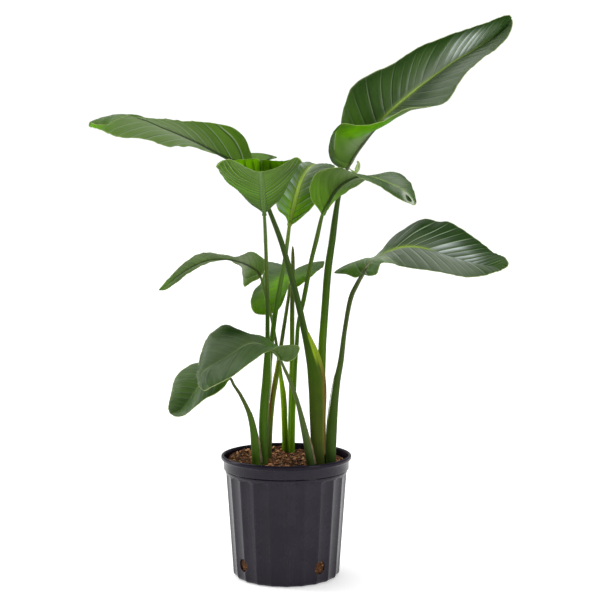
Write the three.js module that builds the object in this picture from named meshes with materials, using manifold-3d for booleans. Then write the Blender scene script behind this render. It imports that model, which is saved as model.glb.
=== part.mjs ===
// Potted bird of paradise: a black fluted grower pot, the potting mix in it, ten leaves
// (a blade and a stalk each) and one furled spear leaf. Millimetres, +Z up, origin at the
// centre of the pot's underside. -Y is the front.
import * as THREE from "three";
import { mergeVertices } from "three/addons/utils/BufferGeometryUtils.js";
import Module from "manifold-3d";

// ---- driving dimensions ----
const POT_HEIGHT = 238;
const LIP_RADIUS = 128; // 10 inch nursery pot over its rolled lip
const LIP_HEIGHT = 8.5;
const BAND_RADIUS = 123.2;
const BAND_DROP = 28; // underside of the plain band, below the top of the lip
const WALL_TOP_RADIUS = 119.2;
const WALL_FOOT_RADIUS = 105;
const FOOT_RADIUS = 97; // where the rounded corner meets the ground
const CORNER_HEIGHT = 9;
const WALL = 1.6; // behind the deepest part of a flute
const FLOOR = 3;
const FLUTES = 22;
const FLUTE_DEPTH = 2.6;
const FLUTE_PHASE = -88.5; // degrees, one sharp edge between two flutes
const HOLE_DIAMETER = 25;
const HOLE_HEIGHT = 33;
const HOLE_ANGLES = [-141.5, -51.5, 38.5, 128.5];
const MIX_TOP = 224.5; // level of the potting mix at the wall
const MIX_CROWN = 3.5; // how much it is heaped towards the middle
const SOCKET_DEPTH = 42; // how far the stalks go down into the mix
const GAP = 0.35; // clearance between touching pieces
const BLADE_THICKNESS = 1.2;
const RIB_AT_BASE = 3.2; // extra thickness of the midrib below the blade
const RIB_AT_TIP = 0.2;

// ---- leaf blades ----
// Each row is one station along the midrib, from the stalk to the tip, with five points
// across the blade: left edge, middle of the left half, midrib, middle of the right half,
// right edge (left and right as seen from the upper side).
const LEAF_RAILS = {
 top_right: [
  [117.4, 47, 800.8, 118.2, 48.7, 799.2, 119.8, 50, 798, 118.5, 48.2, 799.2, 117.7, 46, 800.2],
  [110.4, 66, 823.3, 116.8, 57, 816.2, 126.4, 52, 808.9, 104.5, 36, 799.4, 97.9, 30, 812.9],
  [106.7, 76, 859.4, 115.7, 61.4, 838.7, 132.2, 54, 818.8, 89.3, 22, 812.5, 94, 12, 832.4],
  [110.9, 86, 903.7, 121.5, 67.7, 867.7, 141.4, 57, 832.7, 87, 4, 833.9, 96.3, -8, 862.1],
  [121, 92, 937.9, 132.4, 72.4, 892.6, 152.6, 61, 847.7, 99.6, 2, 858.9, 106.8, -12, 881.3],
  [130.1, 95, 961, 145.1, 75.3, 913.4, 165.9, 66, 864.7, 131.6, 6, 862, 138.5, -12, 878.8],
  [151.1, 96, 978.9, 163.5, 78.1, 931.5, 181, 71, 882.8, 172, 18, 870.5, 173.4, -8, 882.7],
  [179.1, 96, 992.6, 187.4, 80, 949.7, 200.1, 75, 905.2, 209.6, 28, 892.8, 204, 4, 897.4],
  [213.1, 97, 1008.8, 215.9, 82.9, 968.3, 222.6, 80, 925.9, 240.7, 38, 910.5, 238.6, 14, 914],
  [240.1, 98, 1026.7, 240.5, 85.2, 986.3, 243.4, 84, 944.1, 273.5, 54, 925.7, 294.8, 30, 919.2],
  [267.1, 99, 1042.7, 265.2, 87.6, 1002.8, 265.2, 88, 961.3, 292.6, 62, 950.9, 320.2, 42, 932.3],
  [295.2, 101, 1054.8, 289.6, 90.6, 1016.5, 285.8, 92, 976.5, 311.4, 70, 972.2, 340.2, 54, 963.8],
  [323.5, 104, 1065.5, 314.7, 94.6, 1029.9, 307.9, 97, 992.7, 330.7, 77.5, 991.5, 357.1, 64, 986.4],
  [356.1, 109, 1076.7, 345.6, 100.6, 1045.7, 336.6, 104, 1013.2, 360.2, 89, 1014.8, 386.8, 80, 1013.3],
  [389, 115, 1088.3, 376.8, 107.5, 1060.1, 365.7, 112, 1030.8, 388.9, 100, 1033.8, 414.5, 94, 1034.1],
  [418.1, 122, 1099.7, 405.7, 115.4, 1074.4, 394.1, 120, 1048.4, 414.9, 111.2, 1051.9, 437.5, 108, 1053.6],
  [438.1, 128, 1107.4, 428.5, 122.9, 1086.5, 419.1, 127, 1065.3, 434.6, 121.3, 1070.2, 451.3, 120, 1074.3],
  [450, 133, 1110.4, 444.1, 129.9, 1096.2, 438.1, 133, 1082.1, 447.5, 130.1, 1087, 457.4, 130, 1091.7],
  [456.5, 138, 1106.5, 455.8, 137.6, 1104.7, 454.9, 138, 1102.9, 456.3, 137.8, 1102.4, 457.8, 138, 1101.9],
 ],
 top_left: [
  [-62.3, -20, 799.3, -61.6, -18.9, 798, -61.4, -18, 796.5, -60.7, -17.3, 798.1, -60, -16, 799.4],
  [-63, -38, 814.7, -65.5, -28, 807.9, -69, -21, 798.3, -49.9, -6.5, 809.5, -31.4, 12, 813.1],
  [-67.7, -52, 829.2, -71.1, -35.5, 817.1, -76.6, -24, 800.9, -46.7, 6, 815, -18.2, 40, 820.1],
  [-76.6, -64, 853, -79.6, -42, 831.1, -85, -28, 803.8, -66.1, 10.3, 821.2, -48.1, 52, 829.3],
  [-98.5, -76, 870.9, -95.4, -50.6, 841.8, -95.3, -33, 807.4, -86.7, 8.2, 822.7, -79.7, 52, 828.5],
  [-127.9, -86, 876.9, -115.5, -58.7, 847.5, -107.4, -38, 811.9, -107.4, 1.4, 822.7, -110.7, 42, 824.1],
  [-153.1, -98, 878.2, -138.1, -69.2, 853.6, -127.6, -46, 822, -134.3, -8.8, 829.2, -145.2, 28, 827.4],
  [-176.3, -108, 879, -160.6, -79.2, 860.3, -149, -55, 833.8, -163.1, -18.7, 839.4, -181.3, 16, 836.1],
  [-201.2, -118, 880.3, -184.4, -89, 866.7, -170.9, -64, 844.5, -188.5, -28.7, 845.9, -209.4, 4, 838.2],
  [-222.3, -128, 883.2, -206.2, -98.8, 873.3, -192.6, -73, 854.3, -212.7, -38.7, 851.8, -235.2, -8, 840.2],
  [-245, -137, 883.1, -227.2, -108.3, 877.3, -211.4, -82, 862.1, -232.3, -48.3, 859.7, -255.2, -18, 848.1],
  [-267.5, -147, 883.6, -249.4, -118.4, 882, -233, -91, 870.6, -256.4, -58.5, 866.1, -281.5, -30, 852.5],
  [-281.5, -158, 886.2, -266.8, -128.6, 887.8, -253.1, -100, 879.4, -279, -68.6, 869.8, -305.7, -42, 851.5],
  [-292.9, -167, 882.6, -282.4, -138.3, 889.1, -272.3, -109, 885.5, -298.6, -80.2, 875, -324.6, -56, 855.7],
  [-305.8, -172, 874.8, -299.3, -146.3, 887.4, -292.3, -118, 890.7, -316.5, -94.1, 880.9, -338.8, -74, 862.1],
  [-321.2, -172, 868.7, -316.8, -150.6, 883.3, -310.4, -126, 890.1, -331, -109, 881.8, -347.8, -94, 865.4],
  [-337.1, -168, 869, -333.5, -152.1, 880.2, -327.6, -134, 885.8, -342.4, -123.5, 878.7, -353.9, -114, 866.1],
  [-348.3, -160, 871.3, -346.5, -151, 877.5, -343, -141, 880.6, -351.1, -136.1, 874.8, -356.9, -132, 866.4],
  [-355.8, -148, 874.1, -355.8, -147.5, 874.6, -355.6, -147, 875.1, -356.8, -146, 871.5, -357.3, -146, 867.6],
 ],
 upper_front: [
  [-38.7, -60, 710.1, -39.7, -60, 709.2, -40.6, -60, 708.2, -41.6, -60, 709.2, -42.5, -60, 710.1],
  [-39, -54, 738.5, -27, -60, 723.3, -40.7, -72, 714.8, -54.4, -60, 721.5, -42.8, -54, 738.5],
  [-41.4, -50, 774.5, -10.8, -66, 742.1, -40.6, -88, 721.3, -73.2, -66, 738.1, -45.5, -52, 774.5],
  [-42.3, -55, 808.7, -1.1, -84, 756.8, -40.7, -110, 729.5, -84.6, -84, 753.2, -48.3, -58, 809.2],
  [-23.6, -80, 808.8, 8.4, -106, 771.2, -40.9, -135, 738.4, -98.2, -106, 763.8, -69.5, -80, 811.4],
  [3, -112, 806.4, 16, -132, 781.4, -40.8, -162, 747.1, -108.2, -132, 768.2, -93.2, -112, 808],
  [23.4, -144, 810.8, 16.1, -160, 788.7, -40.7, -190, 755.5, -110.2, -160, 776.2, -114.4, -144, 805.4],
  [31.1, -182, 801.3, 3.8, -196, 783.9, -40.6, -218, 762.9, -91.7, -196, 776.3, -123.8, -182, 793.6],
  [22.6, -218, 808.3, -6.4, -230, 786.2, -40.4, -246, 768.3, -77.6, -230, 782.7, -109.9, -218, 801.8],
  [9.6, -256, 803.1, -13.7, -263, 786.3, -39.9, -274, 772.7, -65.7, -263, 785.1, -89.4, -256, 801.2],
  [-9, -288, 790.5, -23.5, -292, 782.5, -39.5, -298, 775.7, -54.3, -292, 781.8, -68.1, -288, 788],
  [-26.4, -312, 781.8, -32.8, -314.5, 779.9, -39.1, -317, 778, -45.1, -314.5, 779.2, -51, -312, 780.5],
  [-37.3, -326, 779.5, -38.2, -326, 779.4, -39, -326, 779.2, -39.7, -326, 779.4, -40.4, -326, 779.5],
 ],
 upper_rear: [
  [4.4, 29, 685.7, 5.3, 29.3, 684.8, 6, 30, 684, 6.8, 29.3, 684.8, 7.7, 29, 685.7],
  [-1.4, 24, 702.8, 4.2, 26.8, 698.5, 8.1, 32, 694.5, 13, 26.9, 693.9, 19.2, 24, 692],
  [-15.5, 22, 715.1, -0.5, 27, 713.2, 11.2, 37, 709.3, 23.7, 27, 710.3, 38.7, 22, 708.7],
  [-20.1, 28, 730.8, -0.7, 32.9, 729.1, 15.2, 44, 724, 33.8, 32.5, 727.5, 55.4, 28, 726.9],
  [-22.2, 40, 753.5, 0.3, 43.5, 749.4, 19.1, 54, 740.9, 42.3, 42.9, 746.1, 68.4, 40, 745.6],
  [-19.6, 57, 777.5, 4.3, 58.9, 771.3, 24.2, 68, 760, 50.6, 57.7, 766.3, 79.5, 56, 765.6],
  [-11.9, 78, 798.4, 11.5, 78.9, 791.9, 31, 86, 779.3, 58.5, 77.2, 785.4, 87.9, 76, 783],
  [-0.2, 104, 809.7, 21.4, 103.9, 805.8, 40.1, 108, 795, 66.5, 101.4, 800.8, 94.1, 100, 797.1],
  [13.7, 136, 812.4, 33.3, 135, 812.7, 51.5, 136, 805.7, 74.5, 130.9, 809.1, 97.4, 128, 803.4],
  [29.1, 170, 812.3, 47, 168.9, 814.2, 64.2, 168, 809, 82.1, 163.9, 810.1, 99.1, 160, 804.1],
  [47.9, 204, 808, 63, 202.4, 809.3, 77.2, 200, 804.8, 89.8, 197.3, 804.3, 101.1, 194, 798.9],
  [65.1, 234, 798.4, 76.6, 232.7, 799, 87.3, 230, 795.3, 95.9, 228.4, 793.4, 103.1, 226, 788.5],
  [83.6, 258, 784.1, 89.8, 257.5, 784.1, 95.4, 256, 781.9, 101.2, 255.5, 780.2, 106, 254, 776.6],
  [101.2, 280, 765.2, 101.9, 280.1, 764.9, 102.4, 280, 764.3, 103.3, 280.1, 764.3, 104.2, 280, 763.9],
 ],
 upper_right: [
  [71.5, -29, 708.2, 70.5, -29.4, 707.4, 69.8, -30, 706.3, 68.8, -30.3, 707.4, 67.8, -31, 708.2],
  [80.4, -24, 715.5, 76.3, -28.1, 714.8, 73.5, -33, 713, 67.3, -37.5, 715.9, 62.3, -44, 717.4],
  [88.8, -12, 727.5, 81.1, -24, 725.5, 77.3, -37, 721, 62.5, -46.1, 729, 50.3, -60, 733.7],
  [100.6, -4, 738, 88.4, -22.1, 735.9, 81.7, -42, 729.7, 62.2, -55.7, 742.4, 46.4, -76, 750.4],
  [114.3, 1, 747.4, 97.6, -22.1, 747.1, 87.5, -48, 740.9, 65.8, -65.3, 757.6, 48.1, -90, 768.8],
  [127.9, 3, 757.5, 108.9, -25.1, 759.1, 96, -56, 753.2, 74.4, -75.5, 771.9, 55.8, -102, 784.2],
  [139.6, 3, 764.6, 120.6, -29.4, 768.2, 106.3, -64, 763.3, 89.5, -85, 781.1, 75.1, -112, 791.4],
  [149.1, 0, 769.8, 131.9, -35.7, 775, 118.1, -73, 770.9, 107, -94.6, 786.8, 97.9, -121, 794.6],
  [158.4, -6, 775, 143.4, -43.5, 779.2, 130.4, -82, 776.7, 123.4, -105, 785.4, 117.9, -130, 786.1],
  [167.3, -20, 780, 154.7, -56, 780.5, 142.7, -92, 779, 139, -115.7, 781.3, 135.9, -139, 775.7],
  [178.5, -40, 781.7, 167.2, -71.7, 781.8, 155.2, -102, 777.9, 154.3, -124.9, 776.3, 152.9, -146, 767.4],
  [192.4, -60, 785.6, 180.6, -87.4, 783.3, 167.7, -112, 774.1, 167.8, -133.1, 770.9, 167.2, -152, 761],
  [208.2, -76, 785.1, 195.5, -101.3, 781, 181.8, -123, 768.3, 182.4, -141.4, 762.8, 182.4, -157, 751.7],
  [220.5, -94, 778.2, 208.5, -115.2, 773.8, 195.8, -133, 762, 197.3, -148.3, 753.5, 198.5, -160, 740.4],
  [230.6, -112, 767.9, 220.4, -129, 764.6, 209.2, -143, 755.6, 211.5, -155, 745.3, 213.4, -163, 731.5],
  [235.3, -132, 751.1, 228.4, -142.4, 750.9, 220.1, -151, 747.4, 222.8, -159.6, 738.3, 224.5, -165, 726.8],
  [238.8, -149, 736.9, 234.3, -154.1, 738.4, 228.7, -158, 738.3, 231.3, -163.1, 731.8, 232.8, -166, 723.9],
  [238.5, -163, 728.1, 237.7, -163.6, 727.8, 236.9, -164, 727.4, 236.9, -164.7, 726.3, 236.9, -165, 725.2],
 ],
 middle_rear: [
  [3.2, 109, 559.2, 4.3, 109.3, 560.8, 5.6, 110, 562.2, 6.9, 109.9, 561.3, 7.9, 110, 560.1],
  [-13.7, 106, 517.6, -6.6, 109.5, 543.8, 6.2, 116, 567, 14.2, 114.1, 564.2, 21.9, 114, 560.1],
  [-38.2, 112, 503.9, -18.7, 117.7, 540.5, 6.9, 126, 572.6, 21.5, 122, 572.9, 36.2, 120, 569.8],
  [-66.2, 124, 506, -31.8, 132.1, 544.9, 7.9, 142, 577.9, 28.9, 137.2, 581.8, 50.6, 134, 580.2],
  [-75.6, 142, 527.4, -35.5, 152.4, 558.1, 8.7, 164, 582, 35.7, 159.4, 590.7, 64.2, 156, 591.9],
  [-68.7, 170, 547.4, -31.1, 180.7, 569.8, 9.8, 192, 584.9, 42, 187.7, 595.8, 75.9, 184, 598.9],
  [-55.3, 208, 567.3, -23.3, 216, 580.5, 10.9, 224, 586, 43.9, 220, 599.8, 79.2, 216, 605.8],
  [-50.1, 250, 590.9, -18.8, 255.2, 592.5, 12, 260, 586.2, 43.1, 257.1, 601.2, 76.9, 254, 608.7],
  [-50.3, 290, 606.1, -17.5, 293.2, 599.6, 12.8, 296, 585.4, 39.6, 294.2, 595.2, 68.7, 292, 597],
  [-36.8, 326, 597.5, -10.5, 328.2, 595.6, 13.8, 330, 584.4, 35.8, 329.1, 588.8, 58.9, 328, 588.6],
  [-15.3, 360, 588.6, 0.2, 361.1, 589.1, 14.7, 362, 583, 29, 361.6, 584.6, 43.7, 361, 584.2],
  [14, 386, 582, 14.9, 386, 581.9, 15.8, 386, 581.5, 16.6, 386, 581.8, 17.6, 386, 581.8],
 ],
 lower_front: [
  [-8.6, -102, 434.3, -9.1, -101, 435.1, -10, -100, 435.6, -9.8, -99.1, 436.4, -10, -98, 437.1],
  [4.6, -116, 432.8, -2.2, -107.6, 437.6, -11.8, -101, 439.3, -8.7, -93.1, 443.9, -8.9, -84, 447.1],
  [20, -130, 444.1, 5.1, -113.4, 446.1, -13.9, -102, 442.5, -10.5, -89.8, 449.5, -11.9, -76, 453.9],
  [25.5, -142, 463.5, 7, -118.3, 458.1, -16.3, -103, 445.6, -15, -88, 454.8, -19.5, -72, 460.5],
  [8.6, -150, 466.8, -2.8, -123.9, 461.8, -19.5, -104, 448.9, -20.4, -87.6, 459.7, -27.1, -70, 465.7],
  [-9.7, -156, 464.6, -14.1, -129.2, 462.8, -23.9, -106, 452.5, -27.1, -88.8, 466, -36, -70, 473.3],
  [-23.7, -160, 458.8, -24.1, -133.5, 462, -29.9, -108, 456.3, -36.1, -89.9, 471.4, -48, -70, 479],
  [-36, -164, 455, -34.3, -137.4, 462.6, -37.7, -110, 460.6, -47.4, -90.7, 475.4, -62.2, -70, 481.3],
  [-48.7, -168, 447.2, -46.2, -141.7, 461.5, -47.3, -112, 465.1, -60.8, -92.1, 479.4, -77.4, -70, 483.4],
  [-65.1, -170, 435.5, -62.9, -145, 456.7, -60.7, -114, 467.4, -78.1, -95.1, 485.4, -95.4, -70, 493.1],
  [-81.4, -172, 423.6, -80.3, -147.2, 447.8, -76.4, -116, 462.4, -96.8, -98.3, 485, -115.2, -72, 499.6],
  [-97, -172, 413, -96.3, -148.9, 437.6, -92.2, -119, 452.9, -114.4, -102, 475.5, -133.9, -76, 490.6],
  [-110.7, -172, 404.5, -111.5, -150.4, 428.1, -108.8, -122, 442.4, -130.1, -106.5, 462.8, -148.7, -82, 475.6],
  [-122.7, -170, 398.2, -125.5, -150.9, 419.8, -125.4, -125, 432.7, -141.7, -111, 448.3, -155.8, -90, 456.7],
  [-131.9, -168, 393, -137.1, -151.8, 412.9, -140, -129, 425.3, -151.7, -116.5, 433.9, -161.1, -100, 436.6],
  [-138, -166, 389.6, -146.1, -153.1, 406.5, -151.2, -134, 417.7, -158.9, -125.1, 421.6, -164.2, -114, 422],
  [-142.8, -162, 386.8, -151.4, -153.4, 398.2, -156.7, -140, 406.5, -162.1, -134.8, 408, -165.6, -128, 408],
  [-146.9, -157, 384.3, -152.6, -153.4, 389.9, -156.4, -147, 394.6, -159.4, -145, 394.4, -161.4, -142, 393.8],
  [-149.5, -154, 383.9, -150.3, -153.7, 384.2, -151, -153, 384.5, -151.9, -152.7, 384.8, -152.6, -152, 385.1],
 ],
 middle_left: [
  [-49.8, 29, 586.4, -50.3, 29.7, 585.5, -50.8, 30, 584.4, -51.3, 30.7, 583.4, -51.9, 31, 582.4],
  [-42.6, 16, 594.9, -48, 22.7, 593.9, -54.5, 28, 591.6, -54.4, 32.7, 586.1, -55.2, 36, 579.7],
  [-38.6, 0, 614.1, -49, 14.1, 607.8, -60.7, 25, 598, -64, 39.3, 587, -68.4, 50, 572.9],
  [-51.2, -18, 627.7, -59.7, 2.8, 618.6, -69.1, 20, 604.3, -76.8, 43.9, 586.4, -85.2, 62, 562.8],
  [-67.4, -34, 636.3, -73, -8.1, 626.5, -79.5, 14, 610.2, -83.6, 43.9, 599.3, -88.7, 70, 581.4],
  [-80.3, -46, 630.5, -85.6, -18.9, 626.4, -92, 6, 615.4, -90.7, 39.8, 612.3, -90.8, 72, 601.4],
  [-92.9, -54, 624.9, -99.1, -28, 625.6, -106.1, -3, 619.4, -103, 32, 618.8, -100.8, 66, 610.2],
  [-107.7, -62, 628.7, -114.9, -36.5, 628.6, -122.1, -12, 621.5, -119.7, 22.3, 623, -117.2, 56, 616.6],
  [-125.1, -72, 633, -132.6, -46.4, 630.7, -138.9, -22, 621.5, -138.9, 12.4, 621.8, -137.5, 46, 614.4],
  [-144.2, -82, 637.1, -151.3, -56.1, 630.8, -155.5, -32, 618.2, -157.5, 1.5, 617.5, -156.5, 34, 609.5],
  [-163.3, -90, 634.5, -169.6, -65, 625.9, -172, -42, 611.6, -175.6, -10.5, 609.7, -175.1, 20, 601],
  [-182.6, -96, 623.8, -187.3, -72.6, 615.8, -187.9, -51, 602.8, -192.2, -23, 599.8, -192, 4, 590.7],
  [-199.6, -99, 609.7, -203.1, -78.8, 603.2, -203, -60, 592.6, -207.2, -36.5, 588.4, -207.4, -14, 579.5],
  [-214.7, -98, 593.2, -217.3, -82, 588.9, -217, -67, 581.5, -220.5, -50.1, 577.2, -220.9, -34, 569.6],
  [-227.8, -92, 578.7, -229.3, -82.2, 576.2, -229.1, -73, 571.8, -231, -63.2, 568.7, -231.2, -54, 563.6],
  [-239.4, -80, 565.9, -239.7, -78.9, 565.4, -239.8, -78, 564.7, -239.7, -77.4, 564.3, -239.5, -77, 563.9],
 ],
 lowest_left: [
  [-105.4, -56, 392.6, -105.9, -55.6, 393.4, -106.5, -55, 394, -106.4, -54.6, 394.9, -106.5, -54, 395.6],
  [-111, -66, 388.7, -112.3, -61.2, 394.1, -114.1, -55, 397.6, -109.2, -46.4, 403.5, -105.1, -36, 406.1],
  [-115.8, -76, 381.2, -120.8, -67.1, 391.8, -125.6, -55, 398.8, -122.1, -41, 410.7, -118.3, -24, 417.3],
  [-125.2, -84, 373.3, -133, -71.2, 387.1, -139.1, -54, 396.2, -141.2, -37.1, 411.9, -141.1, -16, 421.6],
  [-138.4, -88, 365.7, -147.1, -72.8, 380, -152.4, -53, 389.7, -160.6, -35.2, 407.6, -164.8, -12, 420],
  [-151.9, -90, 360.2, -160.3, -72.9, 372.5, -164, -52, 380.3, -177.4, -35.3, 399.8, -185.6, -12, 414.9],
  [-163.5, -90, 350.5, -171.2, -72.1, 361.6, -173.7, -51, 368.5, -191.6, -36.3, 387.8, -204, -14, 403.8],
  [-173.9, -88, 340.5, -180.5, -70.8, 349.8, -182.3, -51, 355.2, -202.1, -38.5, 373, -217.1, -18, 387.9],
  [-185.5, -82, 330.4, -190.1, -67.6, 338.6, -191.2, -51, 343, -208, -41.3, 357.2, -221.6, -25, 368.5],
  [-198, -74, 323.2, -200.5, -63.9, 330, -201.1, -52, 333.5, -213.6, -44.9, 344.1, -224.6, -33, 351.6],
  [-210.7, -65, 321.2, -211.5, -59.6, 325.5, -211.8, -53, 327.8, -219.6, -49.2, 332.9, -227, -43, 335.6],
  [-221.2, -55, 325.1, -221.9, -54.6, 325.8, -222.5, -54, 326.4, -223, -54.1, 327.1, -223.6, -54, 327.6],
 ],
 middle_right: [
  [147.3, -20, 591.6, 148.3, -20.2, 592.4, 149.3, -20, 593, 150.3, -20.8, 592.1, 151.4, -21, 591.1],
  [134.1, -22, 585.4, 142.8, -22, 592.6, 152.2, -19, 598, 155.5, -26.7, 594.5, 160.6, -32, 589.1],
  [116.3, -8, 591.4, 134.4, -15.9, 597.4, 155.1, -18, 602.8, 162.4, -32.1, 599.3, 173.5, -42, 592.9],
  [93.8, 8, 593.3, 124, -8.9, 602.7, 158.4, -18, 607.6, 165.2, -35.8, 607.7, 177.5, -50, 604.3],
  [111.4, 22, 604.8, 134.3, -0.8, 611.8, 162.4, -18, 612.4, 168.1, -39.3, 615.7, 180, -58, 613.4],
  [145.1, 30, 616.7, 154.2, 4.6, 621, 168.4, -18, 617.7, 174.8, -42.2, 621.3, 187.2, -64, 617.4],
  [175.9, 34, 620.3, 173.5, 8, 625.7, 176.1, -18, 623.1, 183.5, -44.7, 624.3, 196.4, -68, 616.8],
  [194.4, 36, 636.8, 186, 8.1, 637.9, 184.9, -19, 628.9, 193.4, -48, 625.9, 207.5, -72, 613.5],
  [203.1, 36, 656.5, 197.1, 6.6, 649.9, 195.2, -20, 634.7, 205.8, -51.1, 626.5, 221, -76, 609.2],
  [223.1, 36, 674.5, 213.7, 4.9, 661.3, 207.4, -22, 639.6, 220.9, -54.6, 627.1, 238, -80, 605.8],
  [246.5, 34, 691, 232.9, 2.2, 671.2, 221.5, -24, 643.5, 238.2, -57.7, 628.2, 257.5, -84, 603.8],
  [271.6, 30, 699.5, 254, -1.7, 675.9, 237.6, -27, 644.9, 256.9, -61.3, 627.4, 277.8, -88, 600.8],
  [299.7, 26, 693.4, 277, -5.2, 672.4, 254.7, -30, 643.8, 276.6, -64.7, 624.8, 299, -92, 596.3],
  [324.6, 20, 689.9, 299.1, -10.4, 668.6, 273.5, -34, 640.1, 297, -67.7, 620.8, 320.3, -94, 592.1],
  [348.1, 12, 676.7, 320.5, -16.4, 659.4, 292.3, -38, 634.7, 316.9, -70.4, 617.3, 340.7, -96, 590.1],
  [368.6, 4, 661.5, 340.3, -22.2, 648.6, 311, -42, 628.3, 335.8, -72, 615, 359.4, -96, 591.4],
  [385.8, -6, 647.1, 358.1, -29.1, 638, 329.7, -46, 621, 353.2, -72.5, 612.9, 375.6, -94, 594],
  [400.6, -18, 636.2, 374.5, -37.3, 629.4, 348.2, -51, 614.3, 368.7, -73.7, 611.3, 389, -92, 597.2],
  [411.4, -30, 630, 388.6, -45.4, 623.9, 366.6, -56, 609.9, 383, -74.2, 609.8, 400.3, -89, 600.7],
  [418.1, -44, 624.5, 400.3, -54.6, 619.4, 383.9, -62, 608.2, 395.7, -74.8, 609.2, 408.8, -85, 603.9],
  [421, -58, 619.9, 409.5, -63.9, 616.5, 399.1, -68, 609.2, 406.5, -75.4, 609.9, 415, -81, 606.9],
  [421.7, -69, 616.5, 416.5, -71.5, 614.9, 411.7, -73, 611.7, 415.4, -75.6, 611.5, 419.4, -77, 610],
  [421.2, -76, 614.8, 420.9, -76, 614.6, 420.6, -76, 614.3, 420.7, -76.6, 614, 420.9, -77, 613.6],
 ],
};

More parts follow.
